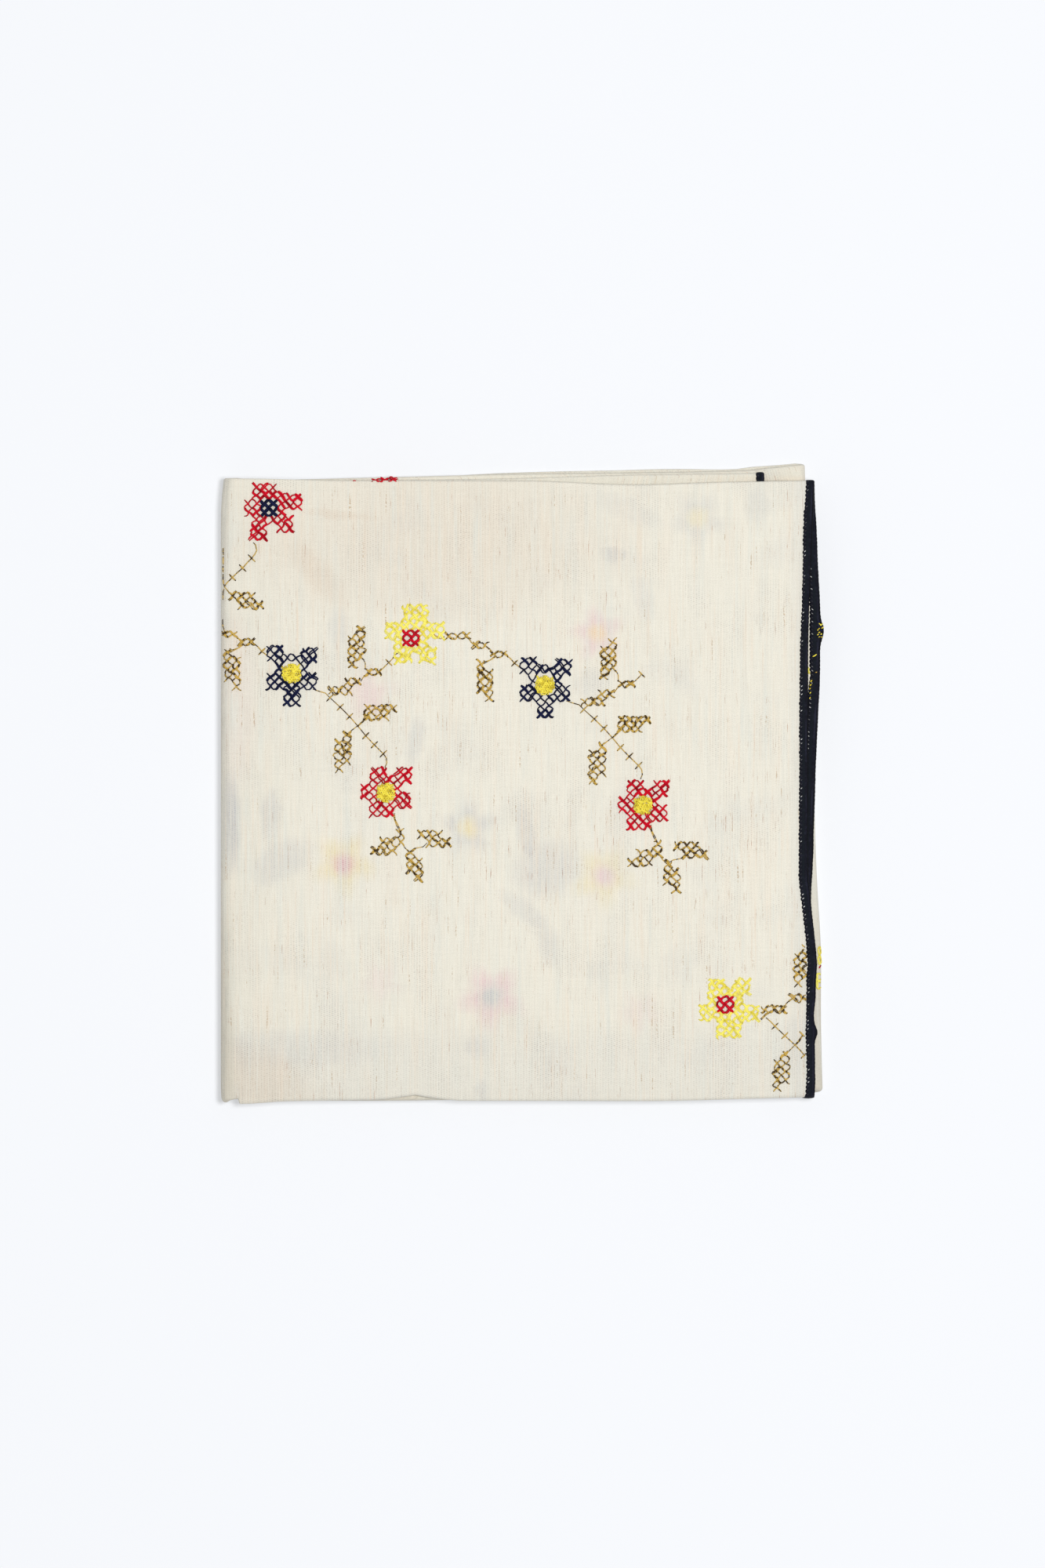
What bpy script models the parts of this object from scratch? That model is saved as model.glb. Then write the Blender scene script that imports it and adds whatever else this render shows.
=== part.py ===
# Folded head scarf: one cloth, with a stitched edging along each of its four edges.
# It is folded in three over its height, then in four across its width, and lies flat.
# All measures are in metres. +X is to the right, +Y is up the cloth and +Z is up the stack.

import math
from typing import NamedTuple

import bmesh
import bpy
import numpy as np

PLY = 0.0010  # thickness of the cloth and of its edging
GAP = 0.0003  # clear space between plies, and between the cloth and its edging
EDGING_WIDTH = 0.0033

# A strip is the cloth folded in three: its face ply, the ply from the top edge and the ply
# from the bottom edge. Each depth is that of the ply's middle above the strip's middle.
PLY_PITCH = PLY + GAP
FACE_DEPTH, MIDDLE_DEPTH, BACK_DEPTH = PLY_PITCH, 0.0, -PLY_PITCH
STRIP_PITCH = 3 * PLY_PITCH
HALF_STRIP = (STRIP_PITCH - GAP) / 2

# Shares of the strip's height up from its bottom: where the two inner plies end, and the rows
MIDDLE_PLY_END = 0.08
BACK_PLY_END = 0.93
ROW_SHARES = (0.14, 0.31, 0.50, 0.69, 0.86)

# Folds and ends across the width: x is the outermost point of each, where y is 0
WIDE_FOLD_X = -0.1160
SMALL_FOLD_X = -0.1107
RIGHT_FOLD_X = 0.1129
TUCKED_END_X = 0.0964
UPPER_END_X = 0.1121

# How far each of those lines moves sideways for each metre up it
WIDE_FOLD_LEAN = -0.005
SMALL_FOLD_LEAN = -0.012
RIGHT_FOLD_LEAN = -0.0286
TUCKED_END_LEAN = -0.023
UPPER_END_LEAN = 0.0

# The wide fold's section is a rounded box that goes round the small fold
SMALL_BEND = STRIP_PITCH / 2
WIDE_BEND = 0.0036
WIDE_SQUARENESS = 2.6

# The upper strip's free end: its plies part from PULL_FROM_X on, and it sags past the tucked end
PULL_FROM_X = 0.0600
SAG = 0.0020
SAG_CLEARANCE = 0.0010

# The middle of the outline, which goes over the origin
CENTRE_X, CENTRE_Y = -0.00016, -0.00030

CLOTH_COLOUR = (0.80, 0.77, 0.67, 1.0)
EDGING_COLOUR = (0.012, 0.014, 0.035, 1.0)

UP, DOWN = math.radians(90), math.radians(-90)


class Strip(NamedTuple):
    level: int  # 0 is the lowest of the stack
    outward: float  # the side that the face ply is on, as an angle from +X to +Z
    inner_xs: tuple  # stations between its two ends
    outline: tuple  # rows of x, top y and bottom y


TUCKED = Strip(2, DOWN, (0.045, -0.001, -0.045, -0.095), (
    (-0.111, 0.1160, -0.1226),
    (-0.093, 0.1165, -0.1228),
    (-0.002, 0.1179, -0.1222),
    (0.038, 0.1191, -0.1212),
    (0.096, 0.1200, -0.1205),
))
MIDDLE = Strip(1, UP, (-0.095, -0.045, -0.001, 0.045, 0.086, 0.101), (
    (-0.111, 0.1172, -0.1225),
    (-0.095, 0.1174, -0.1227),
    (-0.001, 0.1196, -0.1214),
    (0.085, 0.1208, -0.1195),
    (0.101, 0.1222, -0.1192),
    (0.113, 0.1234, -0.1188),
))
UNDER = Strip(0, DOWN, (0.101, 0.086, 0.045, -0.001, -0.049, -0.092), (
    (-0.116, 0.1185, -0.1191),
    (-0.049, 0.1177, -0.1196),
    (-0.001, 0.1200, -0.1200),
    (0.064, 0.1212, -0.1200),
    (0.085, 0.1212, -0.1198),
    (0.101, 0.1227, -0.1194),
    (0.113, 0.1239, -0.1190),
))
UPPER = Strip(3, UP, (-0.109, -0.092, -0.063, -0.038, -0.001, 0.043, 0.070, 0.090, 0.095, 0.100, 0.104), (
    (-0.1106, 0.1178, -0.1227),
    (-0.1090, 0.1178, -0.1241),
    (-0.092, 0.1175, -0.1227),
    (-0.068, 0.1170, -0.1226),
    (-0.038, 0.1170, -0.1220),
    (-0.001, 0.1169, -0.1226),
    (0.043, 0.1154, -0.1224),
    (0.080, 0.1164, -0.1221),
    (0.110, 0.1170, -0.1215),
))

# The upper strip's ends: rows of y and the outermost x of its face, middle and back plies
UPPER_ENDS = (
    (-0.1215, 0.1130, 0.1130, 0.1130),
    (-0.0950, 0.1139, 0.1121, 0.1121),
    (-0.0710, 0.1139, 0.1121, 0.1115),
    (-0.0450, 0.1118, 0.1122, 0.1115),
    (-0.0320, 0.1106, 0.1127, 0.1112),
    (-0.0090, 0.1106, 0.1133, 0.1112),
    (0.0380, 0.1106, 0.1151, 0.1112),
    (0.0640, 0.1112, 0.1153, 0.1112),
    (0.0750, 0.1115, 0.1145, 0.1115),
    (0.1030, 0.1124, 0.1133, 0.1124),
    (0.1170, 0.1130, 0.1136, 0.1130),
)

# Soft ridges in the stack: rows of x, y, heading in degrees, half length, half width and height
RIDGES = (
    (-0.070, 0.085, -50, 0.055, 0.030, 0.0007),
    (0.040, 0.040, 20, 0.090, 0.045, 0.0006),
    (-0.020, -0.070, 75, 0.070, 0.050, 0.0005),
    (0.070, -0.060, -70, 0.060, 0.030, 0.0007),
)


class Station(NamedTuple):
    """One line up a strip. Its x is where y is 0, and free is 1 at the upper strip's end."""

    x: float
    z: float
    outward: float
    lean: float
    top: float
    bottom: float
    free: float = 0.0


class Row(NamedTuple):
    """One line along the strips: a share of their height, an inset from it, and a depth."""

    share: float
    inset: float
    depth: float


def strip_stations(strip, start_xs, end_xs, start_lean, end_lean):
    """The stations of a flat run from its first x to its last."""
    z = HALF_STRIP + strip.level * STRIP_PITCH
    outline_xs, tops, bottoms = np.array(strip.outline).T
    stations = []
    for x in (*start_xs, *strip.inner_xs, *end_xs):
        share = (x - start_xs[0]) / (end_xs[-1] - start_xs[0])
        lean = start_lean + share * (end_lean - start_lean)
        top, bottom = np.interp(x, outline_xs, tops), np.interp(x, outline_xs, bottoms)
        free = np.interp(x, (PULL_FROM_X, UPPER_END_X - EDGING_WIDTH), (0, 1))
        stations.append(Station(x, z, strip.outward, lean, top, bottom, free * (strip is UPPER)))
    return stations


def fold_stations(before, after, centre_x, width, squareness, angles):
    """The stations round a fold between two runs. A negative width puts the face ply inside."""
    centre_z, height = (before.z + after.z) / 2, abs(before.z - after.z) / 2
    stations = []
    for k, angle in enumerate(angles, 1):
        share = k / (len(angles) + 1)
        lean, top, bottom = (
            a + share * (b - a) for a, b in zip(before[3:6], after[3:6], strict=True)
        )
        across, up = math.cos(angle), math.sin(angle)
        x = math.copysign(abs(across) ** (2 / squareness), across)
        z = math.copysign(abs(up) ** (2 / squareness), up)
        slope_x = math.copysign(abs(x) ** (squareness - 1), x) / abs(width)
        slope_z = math.copysign(abs(z) ** (squareness - 1), z) / height
        outward = math.atan2(slope_z, slope_x)
        side = math.copysign(1, width)
        stations.append(
            Station(centre_x + width * x, centre_z + side * height * z, outward, lean, top, bottom)
        )
    return stations


def between(start, end, steps):
    """Angles from start to end in even steps, without those two."""
    return np.linspace(start, end, steps + 1)[1:-1]


def all_stations():
    """The stations across the whole cloth, from the tucked end to the upper end."""
    edging = EDGING_WIDTH, EDGING_WIDTH + GAP
    small_x = SMALL_FOLD_X + HALF_STRIP + SMALL_BEND
    right_x = RIGHT_FOLD_X - HALF_STRIP - SMALL_BEND
    wide_x = WIDE_FOLD_X + HALF_STRIP + WIDE_BEND
    tucked_start = (TUCKED_END_X, TUCKED_END_X - edging[0], TUCKED_END_X - edging[1])
    upper_end = (UPPER_END_X - edging[1], UPPER_END_X - edging[0], UPPER_END_X)

    tucked = strip_stations(TUCKED, tucked_start, (small_x,), TUCKED_END_LEAN, SMALL_FOLD_LEAN)
    middle = strip_stations(MIDDLE, (small_x,), (right_x,), SMALL_FOLD_LEAN, RIGHT_FOLD_LEAN)
    under = strip_stations(UNDER, (right_x,), (wide_x,), RIGHT_FOLD_LEAN, WIDE_FOLD_LEAN)
    upper = strip_stations(UPPER, (wide_x,), upper_end, WIDE_FOLD_LEAN, UPPER_END_LEAN)

    small_angles, right_angles = between(DOWN, UP, 6), between(UP, DOWN, 6)
    wide_angles = between(DOWN, UP - math.tau, 10)
    small = fold_stations(tucked[-1], middle[0], small_x, -SMALL_BEND, 2, small_angles)
    right = fold_stations(middle[-1], under[0], right_x, SMALL_BEND, 2, right_angles)
    wide = fold_stations(under[-1], upper[0], wide_x, WIDE_BEND, WIDE_SQUARENESS, wide_angles)
    return [*tucked, *small, *middle, *right, *under, *wide, *upper]


def all_rows():
    """The rows over the whole cloth, from the middle ply's edge to the back ply's edge."""
    edging = 0, EDGING_WIDTH, EDGING_WIDTH + GAP
    top_bend = (FACE_DEPTH - MIDDLE_DEPTH) / 2
    bottom_bend = (FACE_DEPTH - BACK_DEPTH) / 2

    rows = [Row(MIDDLE_PLY_END, inset, MIDDLE_DEPTH) for inset in edging]
    rows += [Row(share, 0, MIDDLE_DEPTH) for share in ROW_SHARES]
    for angle in np.linspace(DOWN, UP, 7):
        inset = top_bend * (math.cos(angle) - 1) - PLY / 2
        rows.append(Row(1, inset, top_bend * (math.sin(angle) + 1)))
    rows += [Row(share, 0, FACE_DEPTH) for share in reversed(ROW_SHARES)]
    for angle in np.linspace(UP, DOWN, 7):
        inset = bottom_bend * (1 - math.cos(angle)) + PLY / 2
        rows.append(Row(0, inset, bottom_bend * math.sin(angle)))
    rows += [Row(share, 0, BACK_DEPTH) for share in ROW_SHARES]
    rows += [Row(BACK_PLY_END, -inset, BACK_DEPTH) for inset in reversed(edging)]
    return rows


def end_pull(y, depth):
    """How far a ply of the upper strip ends past the others at this height."""
    ys, *ends = np.array(UPPER_ENDS).T
    face, middle, back = (np.interp(y, ys, end) for end in ends)
    end = np.interp(depth, (BACK_DEPTH, MIDDLE_DEPTH, FACE_DEPTH), (back, middle, face))
    return end - UPPER_END_X


def end_sag(x, y):
    """How far the upper strip sinks where no tucked strip is left under it."""
    start = TUCKED_END_X + TUCKED_END_LEAN * y + SAG_CLEARANCE
    share = np.clip((x - start) / (UPPER_END_X - EDGING_WIDTH - start), 0, 1)
    return SAG * share**2 * (3 - 2 * share)


def lift(x, y):
    """The height that the soft ridges add at the top of the stack."""
    total = 0.0
    for ridge_x, ridge_y, heading, half_length, half_width, height in RIDGES:
        turn = math.radians(heading)
        along = (x - ridge_x) * math.cos(turn) + (y - ridge_y) * math.sin(turn)
        across = (y - ridge_y) * math.cos(turn) - (x - ridge_x) * math.sin(turn)
        total += height * math.exp(-((along / half_length) ** 2) - (across / half_width) ** 2)
    return total


def folded_point(station, row):
    """The place of the cloth's middle where a station and a row cross."""
    y = station.bottom + row.share * (station.top - station.bottom) + row.inset
    x = station.x + row.depth * math.cos(station.outward) + station.lean * y
    z = station.z + row.depth * math.sin(station.outward)
    x += station.free**2 * end_pull(y, row.depth)
    highest = 4 * STRIP_PITCH - GAP - PLY / 2
    rise = lift(x, y) * np.clip((z - PLY / 2) / (highest - PLY / 2), 0, 1)
    if station.free > 0:
        rise -= end_sag(x, y)
    return x - CENTRE_X, y - CENTRE_Y, z + rise


def material(name, colour, roughness):
    finish = bpy.data.materials.new(name)
    finish.use_nodes = True
    shader = finish.node_tree.nodes["Principled BSDF"]
    shader.inputs["Base Color"].default_value = colour
    shader.inputs["Roughness"].default_value = roughness
    shader.inputs["Metallic"].default_value = 0.0
    finish.diffuse_color = colour
    return finish


def sheet(name, collection, stations, rows, finish):
    """A ply-thick sheet over some of the stations and rows."""
    across, along = len(stations) - 1, len(rows) - 1
    bm = bmesh.new()
    bmesh.ops.create_grid(bm, x_segments=across, y_segments=along, size=1)
    for vertex in bm.verts:
        station = stations[round((vertex.co.x + 1) / 2 * across)]
        row = rows[round((vertex.co.y + 1) / 2 * along)]
        vertex.co = folded_point(station, row)
    mesh = bpy.data.meshes.new(name)
    bm.to_mesh(mesh)
    bm.free()
    mesh.materials.append(finish)
    mesh.shade_smooth()
    piece = bpy.data.objects.new(name, mesh)
    collection.objects.link(piece)
    thickness = piece.modifiers.new("thickness", "SOLIDIFY")
    thickness.thickness = PLY
    thickness.offset = 0
    thickness.use_even_offset = True
    return piece


def build():
    for old in list(bpy.data.objects):
        bpy.data.objects.remove(old, do_unlink=True)
    collection = bpy.data.collections.new("head_scarf")
    bpy.context.scene.collection.children.link(collection)
    cotton = material("cotton", CLOTH_COLOUR, 0.9)
    thread = material("edging_thread", EDGING_COLOUR, 0.6)

    # The two outer stations and rows on each side are the edging's, with the gap inside them
    stations, rows = all_stations(), all_rows()
    cloth_stations, cloth_rows = stations[2:-2], rows[2:-2]
    end_rows = [rows[0], *cloth_rows, rows[-1]]
    sheet("cloth", collection, cloth_stations, cloth_rows, cotton)
    sheet("edging_tucked_end", collection, stations[:2], end_rows, thread)
    sheet("edging_upper_end", collection, stations[-2:], end_rows, thread)
    sheet("edging_middle_ply", collection, cloth_stations, rows[:2], thread)
    sheet("edging_back_ply", collection, cloth_stations, rows[-2:], thread)


build()
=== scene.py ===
# Folded cotton head scarf with stitched flowers, lying flat and seen from straight above.
# The cloth, its four edgings and the flowers' threads are laid over the folded solids.
import math
import random
from collections import namedtuple

import bpy
import numpy as np
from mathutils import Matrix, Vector
from mathutils.bvhtree import BVHTree


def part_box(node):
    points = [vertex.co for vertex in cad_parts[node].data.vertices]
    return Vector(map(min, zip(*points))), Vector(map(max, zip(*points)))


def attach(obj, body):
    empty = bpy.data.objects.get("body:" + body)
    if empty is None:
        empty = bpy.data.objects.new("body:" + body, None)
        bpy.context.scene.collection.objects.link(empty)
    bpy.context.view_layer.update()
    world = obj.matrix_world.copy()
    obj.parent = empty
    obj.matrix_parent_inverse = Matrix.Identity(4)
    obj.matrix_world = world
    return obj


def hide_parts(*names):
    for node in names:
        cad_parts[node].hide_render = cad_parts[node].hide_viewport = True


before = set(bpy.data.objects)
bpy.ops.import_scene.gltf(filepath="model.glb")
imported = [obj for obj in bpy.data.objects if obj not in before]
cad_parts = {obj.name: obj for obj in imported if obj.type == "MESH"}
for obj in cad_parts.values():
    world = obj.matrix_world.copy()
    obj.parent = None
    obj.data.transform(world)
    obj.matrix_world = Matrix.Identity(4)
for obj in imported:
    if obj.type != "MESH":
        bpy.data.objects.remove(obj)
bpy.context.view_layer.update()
bpy.ops.object.select_all(action="DESELECT")
print("The folded solids are loaded")

# The photo looks straight down, so one scale turns its pixels into metres
photo = {
    "metresPerPixel": 0.000303,
    "originPixel": (665.5, 1000.0),  # the pixel over the scarf's origin
    "middlePixel": (666.5, 1000.0),  # the pixel under the camera
    "size": (1333, 2000),
}


def spot(px, py):
    # a pixel's place on the table, in metres
    left, top = photo["originPixel"]
    return (px - left) * photo["metresPerPixel"], (top - py) * photo["metresPerPixel"]


class Wire:
    # one output of a shader node: an expression on it adds Math nodes
    def __init__(self, tree, socket):
        self.tree = tree
        self.socket = socket

    def node(self, kind, settings=None, values=None, output=0):
        # any other node: its settings come first, then a value or a wire for each socket
        added = self.tree.nodes.new(kind)
        for name, value in (settings or {}).items():
            setattr(added, name, value)
        for name, value in (values or {}).items():
            if isinstance(value, Wire):
                self.tree.links.new(value.socket, added.inputs[name])
            else:
                added.inputs[name].default_value = value
        return Wire(self.tree, added.outputs[output])

    def math(self, operation, *others):
        return self.node("ShaderNodeMath", {"operation": operation}, dict(enumerate((self, *others))))

    def __add__(self, other):
        return self.math("ADD", other)

    def __sub__(self, other):
        return self.math("SUBTRACT", other)

    def __rsub__(self, other):
        return self.node("ShaderNodeMath", {"operation": "SUBTRACT"}, {0: other, 1: self})

    def __mul__(self, other):
        return self.math("MULTIPLY", other)

    def __truediv__(self, other):
        return self.math("DIVIDE", other)

    def __pow__(self, other):
        return self.math("POWER", other)

    __radd__ = __add__
    __rmul__ = __mul__

    def rise(self, start, end):
        # a smooth step from 0 to 1 as the value goes from start to end
        settings = {"interpolation_type": "SMOOTHSTEP"}
        return self.node("ShaderNodeMapRange", settings, {0: self, 1: start, 2: end})

    def noise(self, scale, detail):
        return self.node("ShaderNodeTexNoise", None, {"Vector": self, "Scale": scale, "Detail": detail})

    def parts(self):
        split = self.node("ShaderNodeSeparateXYZ", None, {0: self}).socket.node
        return [Wire(self.tree, output) for output in split.outputs]

    def plain(self, colour):
        # one colour, for others to be mixed into
        wire = self.node("ShaderNodeRGB")
        wire.socket.default_value = colour
        return wire

    def toward(self, colour, share, blend="MIX"):
        # this colour mixed with another one
        settings = {"data_type": "RGBA", "blend_type": blend}
        return self.node("ShaderNodeMix", settings, {0: share, 6: self, 7: colour}, 2)

    def bump(self, strength, distance, over=None):
        # the surface raised by this height, over another bump if there is one
        values = {"Strength": strength, "Distance": distance, "Height": self}
        if over:
            values["Normal"] = over
        return self.node("ShaderNodeBump", None, values)


def vector(x, y, z=0.0):
    # a vector made of wires or numbers, at least x a wire
    return x.node("ShaderNodeCombineXYZ", None, {0: x, 1: y, 2: z})


def newFinish(name, constants):
    # a material whose unchanging values stand on the shader's own sockets
    material = bpy.data.materials.new(name)
    material.use_nodes = True
    tree = material.node_tree
    shader = tree.nodes["Principled BSDF"]
    for socket, value in constants.items():
        shader.inputs[socket].default_value = value
    places = Wire(tree, None).node("ShaderNodeTexCoord")
    uv = Wire(tree, places.socket.node.outputs["UV"])
    spots = Wire(tree, places.socket.node.outputs["Object"])

    def wear(socket, wire):
        tree.links.new(wire.socket, shader.inputs[socket])

    return material, uv, spots, wear


# The woven cloth
cloth = {
    "thickness": 0.0005,
    "columnPitch": 0.00106,  # of the weave's dotted columns
    "rowPitch": 0.00080,
    "wander": 0.0006,  # how far its threads stray
    "roughness": 0.92,
    "colour": (0.815, 0.782, 0.678, 1),
    "warmColour": (0.80, 0.69, 0.56, 1),
    "coolColour": (0.75, 0.755, 0.68, 1),
    "greyColour": (0.60, 0.61, 0.60, 1),
    "shadowColour": (0.53, 0.54, 0.54, 1),  # of what lies below, seen through the top ply
    # painted shade of the wide fold's side, also mixed in to darken the cloth towards the left and the
    # bottom
    "foldShadeColour": (0.56, 0.52, 0.42, 1),
    "slubColour": (0.46, 0.22, 0.12, 1),
    "longSlubColour": (0.45, 0.30, 0.16, 1),
    "tuftColour": (0.58, 0.45, 0.29, 1),
    "holeColour": (0.40, 0.37, 0.34, 1),
    "slubs": 0.64,  # how strong the marks on single threads are
    "longSlubs": 0.60,
    "tufts": 0.50,
    "streaks": 0.42,
    "blotches": 0.24,  # and what shows through from below
    # strength of the painted warm contact shadow above the upper strip's top edge
    "contactShade": 0.12,
    "freeEndGrey": 0.28,
    "warpTones": 0.15,  # and how much the threads differ in tone
    "weftTones": 0.08,
    "grain": 0.30,
    "greyRows": (1296, 1338),  # the photo's rows over which the low part turns greyer
}

# How the cloth is folded: the same folds as the solids', in more and smoother steps
fold = {
    "plyPitch": 0.0013,  # from one ply's middle to the next one's
    "stripHalf": 0.0018,  # from a strip's middle to the outside of its outer ply
    "edging": 0.0033,  # width of the stitched edging
    "middlePlyEnd": 0.08,  # shares of the height where the two inner plies end
    "backPlyEnd": 0.93,
    "wideX": -0.11685,  # outermost x of each fold and end, where y is 0
    "smallX": -0.1107,
    "rightX": 0.1132,
    "tuckedEndX": 0.0964,
    "upperEndX": 0.1121,
    "wideLean": 0.0,  # how far each moves sideways for each metre up it
    "smallLean": -0.012,
    "rightLean": -0.0286,
    "tuckedEndLean": -0.023,
    "upperEndLean": 0.0,
    "wideBend": 0.00385,  # half width of the wide fold's bend
    "wideSquareness": 2.6,  # of the wide fold's bend: 2 is round, as the other folds are
    "squareness": 2,
    # Shares of the way round the wide fold, and how much lower its bottom edge is there
    "wideBottoms": ((0, 0), (0.56, 0), (0.64, -0.0044), (1, -0.0031)),
    "wideSteps": 30,  # steps round the folds at the sides, then at the top and the bottom
    "rightSteps": 12,
    "smallSteps": 10,
    "topSteps": 9,
    "bottomSteps": 11,
    "cornerPull": 0.0012,  # how far the wide fold's top corner is pushed in, between these x and y
    "cornerXs": (-0.114, -0.108),
    "cornerYs": (0.101, 0.118),
    "rightSwell": (-0.064, 0.020, 0.0009),  # y, half length and growth of the right fold's swelling
    "rightSwellXs": (0.100, 0.108),
    "pullFromX": 0.0600,  # the upper strip's plies part from here on
    "sag": 0.0020,  # how far the upper strip sinks past the tucked end
    "sagClearance": 0.0010,  # how far past it the sinking starts
    "waver": 0.00009,  # how unevenly a ply lies on the one below
    "centre": (-0.00016, -0.00030),  # of the outline, which is moved over the origin
    "height": 0.24,  # of the folded cloth, roughly, and the sizes of its grid
    "columnWidth": 0.0058,
    "rowHeight": 0.0066,
}
up, down = math.pi / 2, -math.pi / 2
stripPitch = 3 * fold["plyPitch"]
faceDepth = fold["plyPitch"]

# Each strip's level in the stack, the side its face ply is on, and its outline as rows of x, top y
# and bottom y. The upper strip has more columns by its notch and by its free end
strips = {
    "tucked": {"level": 2, "outward": down, "outline": (
        (-0.111, 0.1160, -0.1226), (-0.093, 0.1165, -0.1228), (-0.002, 0.1179, -0.1222),
        (0.038, 0.1191, -0.1212), (0.096, 0.1200, -0.1205),
    )},
    "middle": {"level": 1, "outward": up, "outline": (
        (-0.111, 0.1172, -0.1225), (-0.095, 0.1174, -0.1227), (-0.060, 0.1182, -0.1219),
        (-0.047, 0.1185, -0.1212), (-0.001, 0.1196, -0.1214), (0.085, 0.1208, -0.1195),
        (0.101, 0.1222, -0.1192), (0.113, 0.1234, -0.1188),
    )},
    "under": {"level": 0, "outward": down, "outline": (
        (-0.116, 0.1187, -0.1191), (-0.104, 0.1177, -0.1192), (-0.090, 0.1171, -0.1193),
        (-0.085, 0.1171, -0.1192), (-0.077, 0.1173, -0.1194), (-0.049, 0.1180, -0.1196),
        (-0.030, 0.1188, -0.1198), (-0.001, 0.1203, -0.1200), (0.040, 0.1212, -0.1200),
        (0.064, 0.1217, -0.1200), (0.082, 0.1215, -0.1198), (0.093, 0.1226, -0.1198),
        (0.101, 0.1231, -0.1199), (0.113, 0.1242, -0.1197),
    )},
    "upper": {"level": 3, "outward": up, "outline": (
        (-0.1106, 0.1178, -0.1222), (-0.1097, 0.1178, -0.1221), (-0.1090, 0.1178, -0.1240),
        (-0.092, 0.1175, -0.1230), (-0.068, 0.1170, -0.1226), (-0.050, 0.1170, -0.1221),
        (-0.043, 0.1170, -0.1205), (-0.033, 0.1170, -0.1220), (-0.018, 0.1169, -0.1228),
        (-0.001, 0.1169, -0.1228), (0.043, 0.1154, -0.1229), (0.066, 0.1160, -0.1226),
        (0.080, 0.1164, -0.1222), (0.110, 0.1170, -0.1215),
    ), "closeXs": (-0.1097, -0.1094, -0.1091, -0.1088, 0.094, 0.097, 0.099, 0.101, 0.103, 0.105, 0.107)},
}

# The upper strip's ends: rows of y, and the outermost x of its face, middle and back plies
upperEnds = (
    (-0.1215, 0.1130, 0.1130, 0.1130), (-0.1150, 0.1134, 0.1127, 0.1127),
    (-0.1000, 0.1131, 0.1122, 0.1122), (-0.0880, 0.1129, 0.1121, 0.1120),
    (-0.0820, 0.1136, 0.1121, 0.1118), (-0.0740, 0.1137, 0.1121, 0.1116),
    (-0.0700, 0.1141, 0.1121, 0.1115), (-0.0640, 0.1136, 0.1121, 0.1115),
    (-0.0590, 0.1131, 0.1121, 0.1115), (-0.0450, 0.1116, 0.1117, 0.1113),
    (-0.0320, 0.1106, 0.1124, 0.1112), (-0.0090, 0.1106, 0.1131, 0.1112),
    (0.0227, 0.1106, 0.1143, 0.1112), (0.0380, 0.1106, 0.1151, 0.1112),
    (0.0440, 0.1106, 0.1153, 0.1112), (0.0640, 0.1109, 0.1153, 0.1112),
    (0.0750, 0.1113, 0.1149, 0.1113), (0.0848, 0.1117, 0.1144, 0.1116),
    (0.0970, 0.1122, 0.1140, 0.1120), (0.1090, 0.1127, 0.1133, 0.1124),
    (0.1170, 0.1130, 0.1131, 0.1130),
)

# Soft ridges of the stack: rows of x, y, heading in degrees, half length, half width and height
ridges = (
    (-0.070, 0.085, -50, 0.055, 0.030, 0.0007),
    (0.040, 0.040, 20, 0.090, 0.045, 0.0006),
    (-0.020, -0.070, 75, 0.070, 0.050, 0.0005),
    (0.070, -0.060, -70, 0.060, 0.030, 0.0007),
)

# The cloth is a grid: stations go across it through all four strips, and rows go over its three plies.
# Outward is the side that a strip's face ply is on, and free is 1 at the upper strip's loose end
Station = namedtuple("Station", "x z outward lean top bottom free")
Row = namedtuple("Row", "share inset depth")


def smooth(x, places, heights):
    # a smooth curve through a table's points that never swings past them
    places, heights = np.asarray(places), np.asarray(heights)
    slopes = np.diff(heights) / np.diff(places)
    before, after = slopes[:-1], slopes[1:]
    total = np.where(before * after > 0, before + after, 1.0)
    inner = np.where(before * after > 0, 2 * before * after / total, 0.0)
    slopes = np.concatenate((slopes[:1], inner, slopes[-1:]))
    x = np.clip(x, places[0], places[-1])
    k = np.clip(np.searchsorted(places, x, side="right") - 1, 0, len(places) - 2)
    step = places[k + 1] - places[k]
    t = (x - places[k]) / step
    start, end = heights[k] + step * slopes[k] * t, heights[k + 1] - step * slopes[k + 1] * (1 - t)
    ease = t * t * (3 - 2 * t)
    return start + (end - start) * ease


def stripRun(name, startX, endX, startLean, endLean):
    # the stations along one strip
    strip = strips[name]
    xs, tops, bottoms = np.array(strip["outline"]).T
    steps = round(abs(endX - startX) / fold["columnWidth"])
    places = {*np.linspace(startX, endX, steps + 1), *strip.get("closeXs", ())}
    run = []
    for x in sorted(places, reverse=endX < startX):
        lean = startLean + (x - startX) / (endX - startX) * (endLean - startLean)
        free = np.interp(x, (fold["pullFromX"], fold["upperEndX"] - fold["edging"]), (0, 1))
        z = fold["stripHalf"] + strip["level"] * stripPitch
        top, bottom = smooth(x, xs, tops), smooth(x, xs, bottoms)
        run.append(Station(x, z, strip["outward"], lean, top, bottom, free * (name == "upper")))
    return run


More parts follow.
